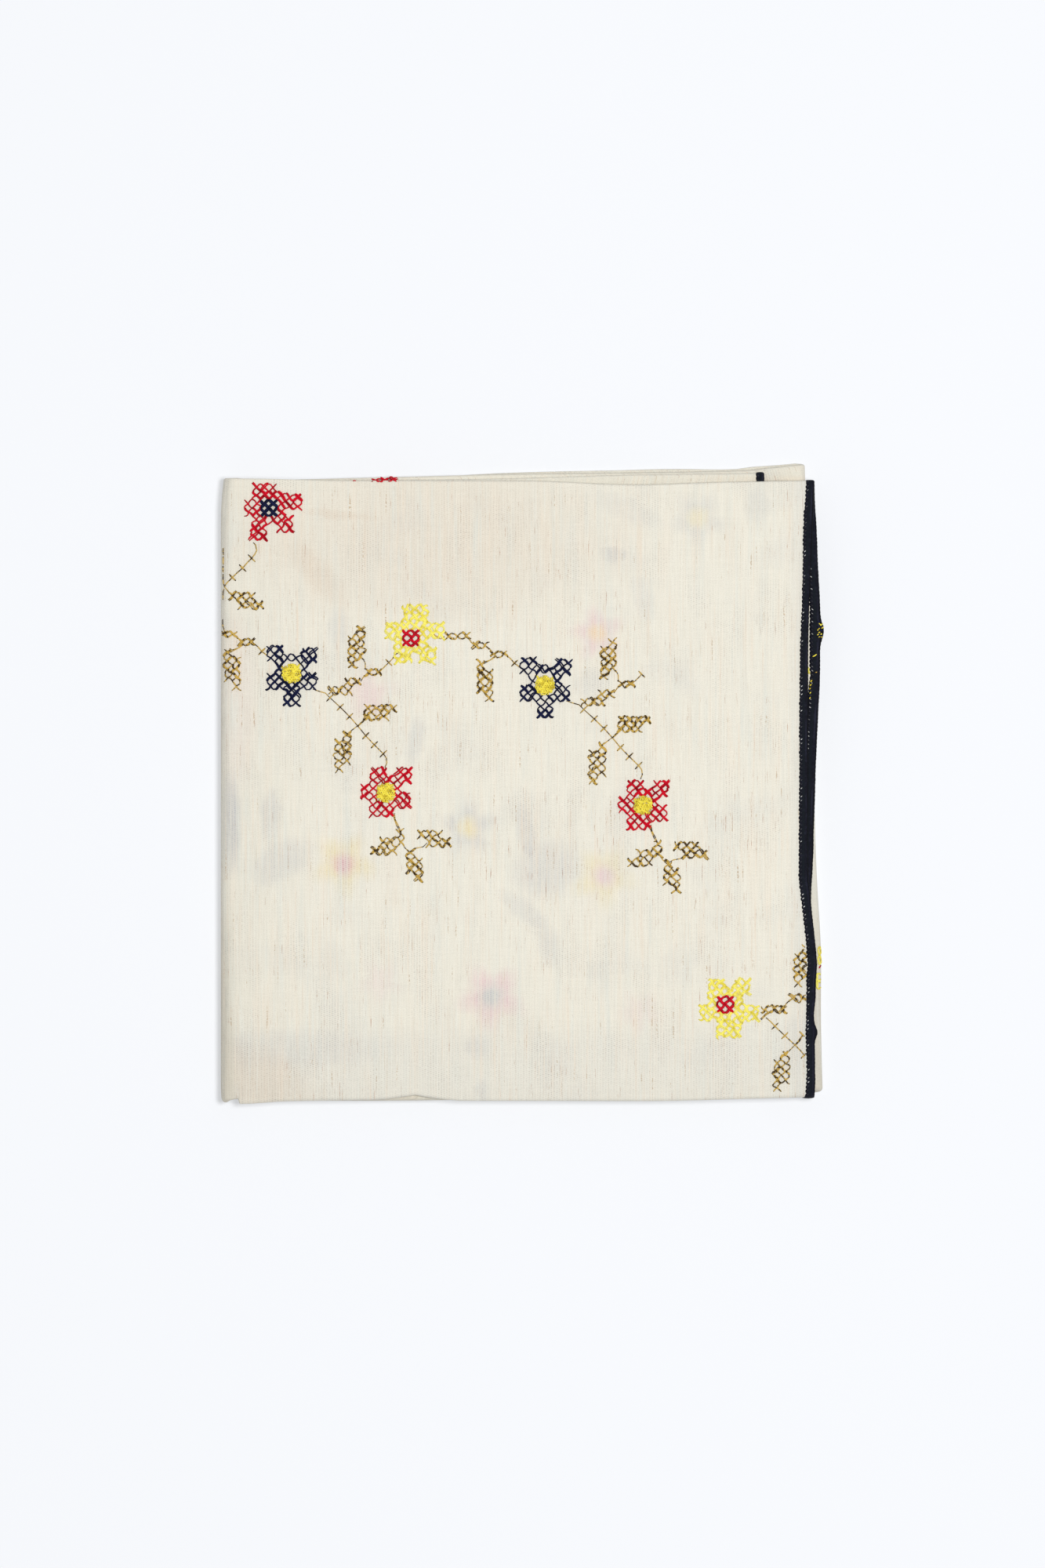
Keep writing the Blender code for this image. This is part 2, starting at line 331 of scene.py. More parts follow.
def foldRun(before, after, middleX, width, squareness, start, end, steps, bottoms=None):
    # the stations round a fold, whose bottom edge may follow shares of its own
    middleZ, height = (before.z + after.z) / 2, abs(before.z - after.z) / 2
    side = math.copysign(1, width)
    run = []
    for k in range(1, steps):
        share = k / steps
        angle = start + share * (end - start)
        lean, top, bottom = (a + share * (b - a) for a, b in zip(before[3:6], after[3:6]))
        if bottoms:
            bottom = before.bottom + np.interp(share, *zip(*bottoms))
        across, over = math.cos(angle), math.sin(angle)
        x = math.copysign(abs(across) ** (2 / squareness), across)
        z = math.copysign(abs(over) ** (2 / squareness), over)
        slopeX = math.copysign(abs(x) ** (squareness - 1), x) / abs(width)
        slopeZ = math.copysign(abs(z) ** (squareness - 1), z) / height
        outward = math.atan2(slopeZ, slopeX)
        run.append(Station(middleX + width * x, middleZ + side * height * z, outward, lean, top, bottom, 0))
    return run


def allStations(inset):
    # across the whole cloth, which stops short of the outer edge of its edging by the inset
    smallBend = stripPitch / 2
    smallX = fold["smallX"] + fold["stripHalf"] + smallBend
    rightX = fold["rightX"] - fold["stripHalf"] - smallBend
    wideX = fold["wideX"] + fold["stripHalf"] + fold["wideBend"]
    tucked = stripRun("tucked", fold["tuckedEndX"] - inset, smallX, fold["tuckedEndLean"], fold["smallLean"])
    middle = stripRun("middle", smallX, rightX, fold["smallLean"], fold["rightLean"])
    under = stripRun("under", rightX, wideX, fold["rightLean"], fold["wideLean"])
    upper = stripRun("upper", wideX, fold["upperEndX"] - inset, fold["wideLean"], fold["upperEndLean"])
    plain = fold["squareness"]
    small = foldRun(tucked[-1], middle[0], smallX, -smallBend, plain, down, up, fold["smallSteps"])
    right = foldRun(middle[-1], under[0], rightX, smallBend, plain, up, down, fold["rightSteps"])
    wide = foldRun(under[-1], upper[0], wideX, fold["wideBend"], fold["wideSquareness"],
                   down, up - math.tau, fold["wideSteps"], fold["wideBottoms"])
    return [*tucked, *small, *middle, *right, *under, *wide, *upper]


def allRows(inset):
    # over the whole cloth, from the middle ply's edge round the top and bottom folds to the back ply's
    pitch, steps = fold["plyPitch"], round(fold["height"] / fold["rowHeight"])
    halfPly = cloth["thickness"] / 2
    middleShares = np.linspace(fold["middlePlyEnd"], 1, steps)
    backShares = np.linspace(0, fold["backPlyEnd"], steps)
    faceShares = np.linspace(1, 0, steps + 2)[1:-1]
    rows = [Row(fold["middlePlyEnd"], inset, 0)]
    rows += [Row(share, 0, 0) for share in middleShares[1:-1]]
    for angle in np.linspace(down, up, fold["topSteps"]):
        rows.append(Row(1, pitch / 2 * (math.cos(angle) - 1) - halfPly, pitch / 2 * (math.sin(angle) + 1)))
    rows += [Row(share, 0, pitch) for share in faceShares]
    for angle in np.linspace(up, down, fold["bottomSteps"]):
        rows.append(Row(0, pitch * (1 - math.cos(angle)) + halfPly, pitch * math.sin(angle)))
    rows += [Row(share, 0, -pitch) for share in backShares[1:-1]]
    rows.append(Row(fold["backPlyEnd"], -inset, -pitch))
    return rows


def lift(x, y):
    # how far the ridges raise the top of the stack here
    total = 0.0
    for ridgeX, ridgeY, heading, halfLength, halfWidth, height in ridges:
        turn = math.radians(heading)
        along = (x - ridgeX) * math.cos(turn) + (y - ridgeY) * math.sin(turn)
        across = (y - ridgeY) * math.cos(turn) - (x - ridgeX) * math.sin(turn)
        total += height * math.exp(-((along / halfLength) ** 2) - (across / halfWidth) ** 2)
    return total


def foldedPoint(station, row):
    # where a point of the grid lies once the cloth is folded
    y = station.bottom + row.share * (station.top - station.bottom) + row.inset
    x = station.x + row.depth * math.cos(station.outward) + station.lean * y
    cornerPull = fold["cornerPull"] * np.interp(station.x, fold["cornerXs"], (1, 0))
    x += cornerPull * np.interp(y, fold["cornerYs"], (0, 1)) ** 2
    z = station.z + row.depth * math.sin(station.outward)
    if station.free:  # near the free end the plies part sideways
        ys, face, middle, back = np.array(upperEnds).T
        ends = [smooth(y, ys, end) for end in (back, middle, face)]
        pull = np.interp(row.depth, (-faceDepth, 0, faceDepth), ends) - fold["upperEndX"]
        x += station.free**2 * pull
    else:
        swellY, halfLength, growth = fold["rightSwell"]
        swell = growth * math.exp(-(((y - swellY) / halfLength) ** 2))
        x += swell * np.interp(station.x, fold["rightSwellXs"], (0, 1))
    rise = lift(x, y) * np.clip(z / (len(strips) * stripPitch), 0, 1)
    if station.free:  # the strip sinks where nothing is left under it
        start = fold["tuckedEndX"] + fold["tuckedEndLean"] * y + fold["sagClearance"]
        share = np.clip((x - start) / (fold["upperEndX"] - fold["edging"] - start), 0, 1)
        rise -= fold["sag"] * share**2 * (3 - 2 * share)
    return x - fold["centre"][0], y - fold["centre"][1], z + rise + waver(x, y, z)


def waver(x, y, z):
    # each ply lies a little unevenly on the one below, and the lowest lies flat
    ply = z / fold["plyPitch"]
    wave = math.sin(41 * x + 1.9 * ply) * math.sin(37 * y - 2.3 * ply) + math.sin(63 * (x - y) + 3.1 * ply)
    return fold["waver"] * wave * min(1.0, max(0.0, ply - 0.6))


def activate(obj):
    # nothing else stays selected, so an operator acts on this piece alone
    bpy.ops.object.select_all(action="DESELECT")
    obj.select_set(True)
    bpy.context.view_layer.objects.active = obj


def mappedGrid(name, places, uvs):
    # a grid whose points go to their places, an array of columns by rows by xyz
    columns, rows = places.shape[0] - 1, places.shape[1] - 1
    bpy.ops.mesh.primitive_grid_add(x_subdivisions=columns, y_subdivisions=rows, size=2)
    obj = bpy.context.object
    obj.name = obj.data.name = name
    mesh = obj.data
    flat = np.zeros(len(mesh.vertices) * 3)
    mesh.vertices.foreach_get("co", flat)
    flat = flat.reshape(-1, 3)
    column = np.rint((flat[:, 0] + 1) / 2 * columns).astype(int)
    row = np.rint((flat[:, 1] + 1) / 2 * rows).astype(int)
    mesh.vertices.foreach_set("co", places[column, row].ravel())
    corners = np.zeros(len(mesh.loops), int)
    mesh.loops.foreach_get("vertex_index", corners)
    mesh.uv_layers.active.data.foreach_set("uv", uvs[column[corners], row[corners]].ravel())
    mesh.update()
    return obj


def settle(obj, material, node=None):
    # a finished piece rides on the one body, and stands for its solid if it has one
    obj.data.materials.clear()
    obj.data.materials.append(material)
    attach(obj, "root")
    if node:
        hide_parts(node)
    return obj


def lengthsAlong(points, axis):
    # lengths along one axis of a grid of points, added up from its start
    lengths = np.linalg.norm(np.diff(points, axis=axis), axis=2)
    pad = ((1, 0), (0, 0)) if axis == 0 else ((0, 0), (1, 0))
    return np.cumsum(np.pad(lengths, pad), axis=axis)


def makeCloth():
    # the folded cloth as one sheet, and the size it lies flat at
    stations = allStations(fold["edging"] / 2)
    rows = allRows(fold["edging"] / 2)
    places = np.array([[foldedPoint(station, row) for row in rows] for station in stations])
    # Its map is the flat cloth in metres, where the upper strip's face has its own x and y
    faceRow = next(k for k, row in enumerate(rows) if row.depth == faceDepth and row.share < 0.5)
    upperZ = strips["upper"]["level"] * stripPitch
    homeColumn = next(k for k, station in enumerate(stations) if station.z > upperZ and station.x > 0)
    u, v = lengthsAlong(places, 0), lengthsAlong(places, 1)
    u = u - u[homeColumn] + places[homeColumn, :, 0]
    v = places[:, faceRow, 1][:, None] - (v - v[:, faceRow][:, None])
    obj = mappedGrid("clothFolded", places, np.stack((u, v), axis=2))
    activate(obj)
    thickness = obj.modifiers.new("thickness", "SOLIDIFY")
    thickness.thickness = cloth["thickness"]
    thickness.offset = 0
    thickness.use_even_offset = True
    bpy.ops.object.modifier_apply(modifier="thickness")
    bpy.ops.object.shade_smooth()
    flat = (float(np.median(u[-1] - u[0])), float(np.median(v[:, 0] - v[:, -1])))
    return settle(obj, clothFinish(), "cloth"), flat


# Flowers and leaves of the plies below show through the top ply, softly: rows of the photo's pixel,
# size in pixels, turn in degrees, colour of petals, colour of heart, and strength
ghostFlowers = (
    (891, 661, 36, -90, "grey", "yellow", 0.19),
    (762, 808, 33, 100, "pink", "orange", 0.32),
    (470, 886, 36, 90, "pink", "pink", 0.20),
    (597, 1056, 36, 90, "grey", "yellow", 0.28),
    (438, 1102, 40, 60, "yellow", "red", 0.33),
    (770, 1118, 40, 60, "yellow", "pink", 0.26),
    (627, 1271, 42, 50, "pink", "grey", 0.34),
    (485, 1252, 30, 50, "pink", "pink", 0.10),
    (815, 1290, 30, 50, "pink", "pink", 0.10),
)
# Rows of the photo's pixel, half length and half width in pixels, turn in degrees, colour and strength
ghostLeaves = (
    (800, 650, 40, 14, -25, "grey", 0.10), (783, 707, 14, 9, 0, "grey", 0.20),
    (820, 762, 11, 26, 15, "grey", 0.13), (965, 645, 14, 20, 0, "grey", 0.12),
    (752, 872, 20, 16, 0, "grey", 0.13), (431, 800, 12, 20, 0, "grey", 0.14),
    (530, 945, 9, 28, -8, "grey", 0.16), (345, 1040, 11, 28, 0, "grey", 0.22),
    (358, 1098, 34, 20, 30, "grey", 0.20), (289, 1050, 16, 52, 0, "grey", 0.40),
    (670, 1058, 10, 28, 12, "grey", 0.20), (697, 1108, 36, 32, 20, "grey", 0.22),
    (668, 1160, 30, 12, -35, "grey", 0.15), (700, 1205, 13, 24, 10, "grey", 0.14),
    # The diagonal brown mark at 405, 732 is a painted shadow of a shallow crease, not a leaf below
    (405, 732, 44, 16, -50, "brown", 0.15), (430, 656, 40, 5, -6, "brown", 0.14),
    (560, 690, 190, 85, 0, "brown", 0.16), (330, 1378, 60, 34, -25, "brown", 0.24),
    (375, 1338, 105, 20, 0, "grey", 0.13), (610, 1335, 14, 14, 0, "grey", 0.14),
    (615, 1392, 8, 14, 0, "grey", 0.16), (300, 900, 22, 90, 0, "pink", 0.08),
)
ghostColours = {
    "grey": (0.42, 0.44, 0.49, 1),
    "pink": (0.72, 0.42, 0.50, 1),
    "red": (0.66, 0.17, 0.27, 1),
    "yellow": (0.80, 0.64, 0.25, 1),
    "orange": (0.82, 0.52, 0.28, 1),
    "brown": (0.62, 0.47, 0.35, 1),
}


def ghostShapes(u, v):
    # for each colour, how strongly it shows through at this place
    scale = photo["metresPerPixel"]
    shades = {name: [] for name in ghostColours}

    def apart(px, py, turn):
        # the distance from a pixel along and across a heading
        x, y = spot(px, py)
        cos, sin = math.cos(math.radians(turn)), math.sin(math.radians(turn))
        return (u - x) * cos + (v - y) * sin, (v - y) * cos - (u - x) * sin

    for px, py, size, turn, petals, heart, strength in ghostFlowers:
        along, across = apart(px, py, turn)
        distance = (along * along + across * across).math("SQRT")
        lobes = (across.math("ARCTAN2", along) * 5).math("COSINE")  # five petals
        reach = (lobes * 0.16 + 0.80) * (size * scale)
        petal = (distance / reach).rise(1.42, 0.30)
        centre = distance.rise(size * scale * 0.56, size * scale * 0.10)
        shades[petals].append(petal * (1 - centre) * strength)
        shades[heart].append(centre * (strength * 1.15))
    for px, py, halfLength, halfWidth, turn, colour, strength in ghostLeaves:
        along, across = apart(px, py, turn)
        along, across = along / (halfLength * scale), across / (halfWidth * scale)
        shades[colour].append((along * along + across * across).rise(2.3, 0.0) * strength)
    return {name: sum(masks[1:], masks[0]) for name, masks in shades.items()}


def clothFinish():
    material, uv, spots, wear = newFinish(
        "wovenCotton", {"Roughness": cloth["roughness"], "Specular IOR Level": 0.2, "Sheen Weight": 0.08}
    )
    u, v, _ = uv.parts()
    x, y, z = spots.parts()

    def marks(across, up, detail=2, shift=0.0):
        # noise that has about so many marks in a metre across the cloth and up it
        return vector(u * across, v * up + shift).noise(1.0, detail)

    # The weave's dotted columns and the holes between its threads
    column = (u + uv.noise(45, 2) * cloth["wander"]) / cloth["columnPitch"]
    row = (v + uv.noise(30, 2) * cloth["wander"]) / cloth["rowPitch"]
    ribs = (column * math.tau).math("COSINE")
    dots = ((row + (column + 0.5).math("FLOOR") * 0.5) * math.tau).math("COSINE")
    uneven = vector(u * 1500 + 3.0, v * 1300).noise(1.0, 1).rise(0.24, 0.64)
    holes = ((ribs + 1) * 0.5) ** 1.5 * ((dots + 1) * 0.5) * uneven * 1.5
    weavePattern = (column * math.pi * 0.7).math("SINE") * 0.12 + 0.94
    # Threads differ in tone, mostly up and down the cloth, and their marks crowd in some places
    warps, wefts, grain = marks(1300, 60), marks(70, 1500), marks(3000, 2700)
    broad, bands, lines = marks(230, 16, 3), marks(620, 26), marks(1100, 26, 1)
    patches = marks(70, 38, 3)
    crowds = uv.noise(17, 2) - 0.5
    slubs = marks(2300, 105) + uv.noise(1300, 1) * 0.16 + crowds * 0.16
    tufts = marks(900, 190) + crowds * 0.2
    streaks = marks(1250, 62, 2, 9.0) + crowds * 0.10
    wavering = u + (uv.noise(1100, 1) - 0.5) * 0.0005
    longSlubs = vector(wavering * 1000, v * 50 + 31.0).noise(1.0, 2) + crowds * 0.10
    beads = marks(900, 1100, 1, 5.0).rise(0.40, 0.58)

    # What shows through the top ply. Its low part is greyer, where the ply from the bottom edge is
    # missing
    colour = spots.plain(cloth["colour"])
    onFace = u.rise(-0.119, -0.112) * v.rise(-0.125, -0.121) * v.rise(0.119, 0.116)
    lowStart, lowEnd = (spot(0, pixelRow)[1] for pixelRow in cloth["greyRows"])
    low = v.rise(lowStart, lowEnd) * onFace
    colour = colour.toward(cloth["greyColour"], low * (0.10 + patches * 0.12))
    blotches = uv.noise(36, 3).rise(0.50, 0.74) * cloth["blotches"]
    colour = colour.toward(cloth["shadowColour"], blotches * onFace * (0.6 + holes * 0.9))
    ghosts = ghostShapes(u + (uv.noise(160, 1) - 0.5) * 0.003, v + (uv.noise(150, 1) - 0.5) * 0.003)
    for name, mask in ghosts.items():
        colour = colour.toward(ghostColours[name], mask * onFace * weavePattern * (1.15 + holes * 0.9))
    # A painted warm contact shadow along the strip that shows above the upper strip's top edge
    contactShade = y.rise(0.1160, 0.1172) * y.rise(0.1200, 0.1180) * z.rise(0.0128, 0.0118) * x.rise(0.06, 0.10)
    colour = colour.toward(ghostColours["orange"], contactShade * cloth["contactShade"])
    colour = colour.toward(cloth["greyColour"], u.rise(0.1010, 0.1085) * onFace * cloth["freeEndGrey"])
    # Painted shade on the low part of the wide fold's side, which faces away from the key light; the cloth
    # is also made a little darker towards the left and towards the bottom
    foldShadeAndDarkening = u.rise(-0.070, -0.118) * 0.13 + u.rise(-0.1105, -0.1145) * v.rise(-0.03, -0.09) * 0.36
    foldShadeAndDarkening = foldShadeAndDarkening + v.rise(-0.040, -0.100) * 0.05 + v.rise(-0.108, -0.120) * 0.04
    colour = colour.toward(cloth["foldShadeColour"], foldShadeAndDarkening)

    # The tones and marks of the threads
    cool = broad.rise(0.46, 0.34) * 0.30 + bands.rise(0.47, 0.30) * 0.45
    warm = broad.rise(0.54, 0.70) * 0.20 + bands.rise(0.55, 0.74) * 0.32 + lines.rise(0.55, 0.78) * 0.52
    colour = colour.toward(cloth["coolColour"], cool).toward(cloth["warmColour"], warm)
    colour = colour.toward(cloth["tuftColour"], tufts.rise(0.72, 0.82) * cloth["tufts"])
    colour = colour.toward(cloth["tuftColour"], streaks.rise(0.66, 0.80) * cloth["streaks"])
    colour = colour.toward(cloth["slubColour"], slubs.rise(0.73, 0.87) * cloth["slubs"])
    colour = colour.toward(cloth["longSlubColour"], longSlubs.rise(0.66, 0.73) * beads * cloth["longSlubs"])
    openness = patches.rise(0.47, 0.66) * 0.28 + low * 0.14 + 0.02
    colour = colour.toward(cloth["holeColour"], holes * openness)
    tone = 0.965 + (warps - 0.5) * cloth["warpTones"] + (broad - 0.5) * 0.05
    tone = tone + (wefts - 0.5) * cloth["weftTones"] + (grain - 0.5) * cloth["grain"]
    wear("Base Color", colour.toward(vector(tone, tone, tone), 1.0, "MULTIPLY"))
    weave = (1 - holes) * 0.5 + warps * 0.5 + grain * 0.5 + slubs.rise(0.74, 0.88) * 0.6
    puckers = spots.noise(130, 2)
    wear("Normal", puckers.bump(0.5, 0.0014, weave.bump(0.5, 0.0002)))
    return material


# The stitched edging round all four edges
edging = {
    "height": 0.0013,
    "stitch": 0.00158,  # length of one stitch along the edge
    "bead": 0.00042,  # how far the stitches' loops bead the inner rim
    "outerBead": 0.00009,
    "slant": 0.22,  # of each stitch across the band, in stitches
    "around": 12,  # points round the band
    "boxiness": 0.75,  # of the band's section: 1 is an ellipse
    "endRounding": 0.0014,
    "stitchSizes": (0.5, 1.25),  # least and most of a stitch's own bead
    "stitchRelief": 0.16,  # how much thicker the band is at a stitch's middle, as a share
    "widthWobble": 0.04,  # and how unevenly wide and thick it is, as shares
    "heightWobble": 0.08,
    "knotThickness": 0.3,  # of a knotted place, as a share of how far it stands out
    "faceWidths": (  # of the upper end's outer plies: rows of y and width
        (-0.1170, 0.0036), (-0.0894, 0.0033), (-0.0803, 0.0040), (-0.0621, 0.0038), (-0.0530, 0.0037),
        (-0.0439, 0.0039), (-0.0258, 0.0039), (-0.0076, 0.0036), (0.0288, 0.0036), (0.0379, 0.0034),
        (0.0561, 0.0032), (0.0651, 0.0030), (0.0742, 0.0031), (0.0833, 0.0033), (0.0924, 0.0035),
        (0.1015, 0.0038), (0.1106, 0.0033),
    ),
    "middleWidths": (  # and of the ply between them
        (-0.010, 0.0047), (0.0340, 0.0046), (0.0376, 0.0044), (0.0424, 0.0041), (0.0470, 0.0044),
        (0.060, 0.0043), (0.0660, 0.0042), (0.0715, 0.0041), (0.0760, 0.0040),
    ),
    "colour": (0.0036, 0.0040, 0.0090, 1),
    "rimShadeColour": (0.0006, 0.0006, 0.0012, 1),
    "sheenColour": (0.026, 0.028, 0.052, 1),
    "greenColour": (0.005, 0.009, 0.013, 1),
    "fleckColour": (0.74, 0.75, 0.72, 1),
}
# Where the upper end's thread is knotted and stands out: ply's depth, y, half length, and how far
knotted = (
    (faceDepth, -0.0960, 0.0026, 0.0012),
    (0.0, 0.0592, 0.0042, 0.0014),
)


def evenly(points, step):
    # the same line with its points an even step apart, and how far along it each one is
    lengths = np.linalg.norm(np.diff(points[:, :3], axis=0), axis=1)
    along = np.concatenate(([0], np.cumsum(lengths)))
    places = np.linspace(0, along[-1], max(8, round(along[-1] / step)) + 1)
    return np.column_stack([np.interp(places, along, column) for column in points.T]), places


def makeEdging(name, node, inner, outer, depths, ringsPerStitch, material, knots=()):
    # a padded band of stitches between the lines of its inner and its outer edge
    lines, along = evenly(np.column_stack((inner, outer, depths)), edging["stitch"] / ringsPerStitch)
    inside, outside, depth = lines[:, :3], lines[:, 3:6], lines[:, 6]
    middle = (inside + outside) / 2
    width = np.linalg.norm(outside - inside, axis=1)
    across = (outside - inside) / width[:, None]
    tangent = np.gradient(middle, axis=0)
    normal = np.cross(across, tangent)
    normal /= np.linalg.norm(normal, axis=1)[:, None]
    bulge = np.zeros(len(along))
    for knotDepth, y, halfLength, growth in knots:
        onPly = np.abs(depth - knotDepth) < fold["plyPitch"] / 2
        bulge += growth * onPly * np.exp(-(((middle[:, 1] - y) / halfLength) ** 2))

    fromEnd = np.minimum(along, along[-1] - along) / edging["endRounding"]
    rounding = np.sqrt(np.clip(1 - (1 - np.clip(fromEnd, 0, 1)) ** 2, 0, 1))
    angle = np.linspace(0, math.tau, edging["around"] + 1)
    cos, sin = np.cos(angle), np.sin(angle)
    a = np.sign(cos) * np.abs(cos) ** edging["boxiness"]
    b = np.sign(sin) * np.abs(sin) ** edging["boxiness"]
    toInner, toOuter = np.clip(-cos, 0, 1)[None, :], np.clip(cos, 0, 1)[None, :]
    uneven = np.random.default_rng(len(name))
    wobble = np.convolve(uneven.normal(0, 1, len(along)), np.ones(25) / 12, mode="same")[:, None]
    phase = (along / edging["stitch"])[:, None] + edging["slant"] * a[None, :]
    sizes = uneven.uniform(*edging["stitchSizes"], round(along[-1] / edging["stitch"]) + 4)
    size = sizes[np.floor(phase).astype(int) + 1]
    stitch = np.abs(np.sin(math.pi * phase)) ** 0.6
    reach = width[:, None] / 2 * a * (1 + edging["widthWobble"] * wobble) + bulge[:, None] * toOuter
    reach = reach - edging["bead"] * (stitch * size - 0.6) * toInner
    reach = reach + edging["outerBead"] * (np.abs(np.sin(math.pi * (phase + 0.5))) * size - 0.4) * toOuter
    relief = 0.86 + edging["stitchRelief"] * stitch + edging["heightWobble"] * wobble
    thick = edging["height"] / 2 * b * relief + bulge[:, None] * b * edging["knotThickness"]
    reach, thick = reach * rounding[:, None], thick * rounding[:, None]
    places = middle[:, None] + reach[..., None] * across[:, None] + thick[..., None] * normal[:, None]
    uvs = np.stack(np.broadcast_arrays(angle[None, :] / math.tau, along[:, None]), axis=2)
    obj = mappedGrid(name, places, uvs)
    activate(obj)
    bpy.ops.object.mode_set(mode="EDIT")
    bpy.ops.mesh.select_all(action="SELECT")
    bpy.ops.mesh.remove_doubles(threshold=0.000002)
    bpy.ops.mesh.normals_make_consistent(inside=False)
    bpy.ops.object.mode_set(mode="OBJECT")
    bpy.ops.object.shade_smooth()
    return settle(obj, material, node)


def edgingFinish():
    material, uv, spots, wear = newFinish("edgingThread", {"Specular IOR Level": 0.12, "Sheen Weight": 0.02})
    around, along, _ = uv.parts()
    stitches = along / edging["stitch"] + around * 0.9
    thread = (stitches * 4).math("FRACT")
    grain = spots.noise(2200, 2)
    blotches = spots.noise(700, 2)
    fromInner = (around - 0.5).math("ABSOLUTE")  # 0 at the inner rim, 0.5 at the outer one
    sheen = grain.rise(0.45, 0.85) * 0.35 + blotches.rise(0.45, 0.75) * 0.25
    colour = spots.plain(edging["colour"]).toward(edging["sheenColour"], sheen)
    greenLine = fromInner.rise(0.19, 0.24) * fromInner.rise(0.30, 0.27)
    colour = colour.toward(edging["greenColour"], greenLine * 0.6)
    # A painted highlight of sheen runs along a ridge of the band
    ridge = fromInner.rise(0.295, 0.315) * fromInner.rise(0.350, 0.330)
    colour = colour.toward(edging["sheenColour"], ridge * spots.noise(70, 1).rise(0.42, 0.66) * 0.5)
    # Both rims of the band are painted darker, a painted shade where the band rounds down towards the cloth
    colour = colour.toward(edging["rimShadeColour"], fromInner.rise(0.15, 0.05) + fromInner.rise(0.37, 0.43))
    # Between two stitches a thread of the pale cloth shows, brighter at some than at others
    slanted = along / edging["stitch"] + fromInner * 5.5
    place, index = slanted.math("FRACT"), slanted.math("FLOOR")
    bright = index.node("ShaderNodeTexWhiteNoise", {"noise_dimensions": "1D"}, {"W": index}).rise(0.22, 1.0)
    lit = bright**3.4 * spots.noise(55, 1).rise(0.34, 0.58)
    across = fromInner.rise(0.158, 0.180) * fromInner.rise(0.216, 0.194)
    flecks = place.rise(0.32, 0.46) * place.rise(0.66, 0.52) * across
    colour = colour.toward(edging["fleckColour"], flecks * (lit + 0.03))
    wear("Base Color", colour)
    wear("Roughness", 0.62 + grain * 0.2)
    wear("Normal", (thread.math("PINGPONG", 0.5) + grain * 0.5).bump(0.6, 0.0002))
    return material


def makeEdgings():
    width = fold["edging"]
    material = edgingFinish()
    rows = allRows(0)
    whole = allStations(0)

    def endLine(station, reach):
        # over all rows at one end, so far inside its outermost line
        return [foldedPoint(station._replace(x=station.x - reach(row)), row) for row in rows]

    def upperWidth(row):
        share = min(1.0, abs(row.depth) / faceDepth)
        y = whole[-1].bottom + row.share * (whole[-1].top - whole[-1].bottom)
        face, middle = (np.interp(y, *zip(*edging[widths])) for widths in ("faceWidths", "middleWidths"))
        return middle + (face - middle) * share

    depths = [row.depth for row in rows]
    pieces = [
        makeEdging("edgingUpperEnd", "edging_upper_end", endLine(whole[-1], upperWidth),
                   endLine(whole[-1], lambda row: 0), depths, 6, material, knotted),
        makeEdging("edgingTuckedEnd", "edging_tucked_end", endLine(whole[0], lambda row: width),
                   endLine(whole[0], lambda row: 0), depths, 5, material),
    ]
    cut = allStations(width)
    for name, node, outer, inner in (
        ("edgingMiddlePly", "edging_middle_ply", rows[0], rows[0]._replace(inset=width)),
        ("edgingBackPly", "edging_back_ply", rows[-1], rows[-1]._replace(inset=-width)),
    ):
        lines = [[foldedPoint(station, row) for station in cut] for row in (inner, outer)]
        pieces.append(makeEdging(name, node, *lines, [0] * len(cut), 3, material))
    return pieces


# The flowers, charted as crosses: x is a petal's cross and h one of the heart's. Each shift moves
# some columns and rows by shares of a cross: first and last column, first and last row, across, down
flowerCharts = {
    "spreading": {
        "chart": (
            ".xxx...",
            ".xxxxxx",
            "xxhhxxx",
            "xxhhx..",
            ".xxxxx.",
            ".xx.xx.",
            ".xx....",
        ),
        "heart": (2, 2),
        "shifts": ((5, 6, 1, 2, 0.0, 0.3), (1, 2, 5, 6, -0.25, 0.0)),
    },
    "starry": {
        "chart": (
            "xx..xx",
            "xxxxxx",
            ".xhhx.",
            "xxhhxx",
            "xxxxxx",
            "..xx..",
            "..xx..",
        ),
        "heart": (2, 2),
        "shifts": ((0, 3, 0, 1, 0.0, -0.38), (4, 5, 0, 1, 0.0, -0.1), (4, 5, 0, 0, 0.25, 0.0)),
    },
    "round": {
        "chart": (
            ".xx.xx",
            ".xxxxx",
            "xxhhx.",
            "xxhhxx",
            ".xxxxx",
            ".xxx..",
        ),
        "heart": (2, 2),
        "shifts": ((1, 2, 0, 0, 0.2, 0.0), (4, 5, 0, 0, 0.3, 0.0)),
    },
    "tall": {
        "chart": (
            "..xxx..",
            "..xxx..",
            "xxxxxxx",
            "xxhhxxx",
            ".xhhx..",
            ".xxxxx.",
            ".xx.xx.",
        ),
        "heart": (2, 3),
        "shifts": (),
    },
    "hanging": {
        "chart": (
            ".xx.xx.",
            ".xxxxx.",
            ".xhhx..",
            "xxhhxxx",
            "xxxxxxx",
            "..xxx..",
            "..xxx..",
        ),
        "heart": (2, 2),
        "shifts": (),
    },
}
# Where each flower is: chart, pixel of its heart's middle, pixels a cross, petals' and heart's threads
flowers = (
    ("spreading", 343, 648, 10.5, "red", "navy"),
    ("starry", 372, 859, 10.6, "navy", "amber"),
    ("starry", 695, 874, 10.6, "navy", "amber"),
    ("round", 492, 1011, 10.5, "red", "amber"),
    ("round", 820, 1027, 10.5, "red", "amber"),
    ("tall", 524, 814, 10.7, "yellow", "red"),
    ("hanging", 925, 1281, 10.9, "yellow", "red"),
)

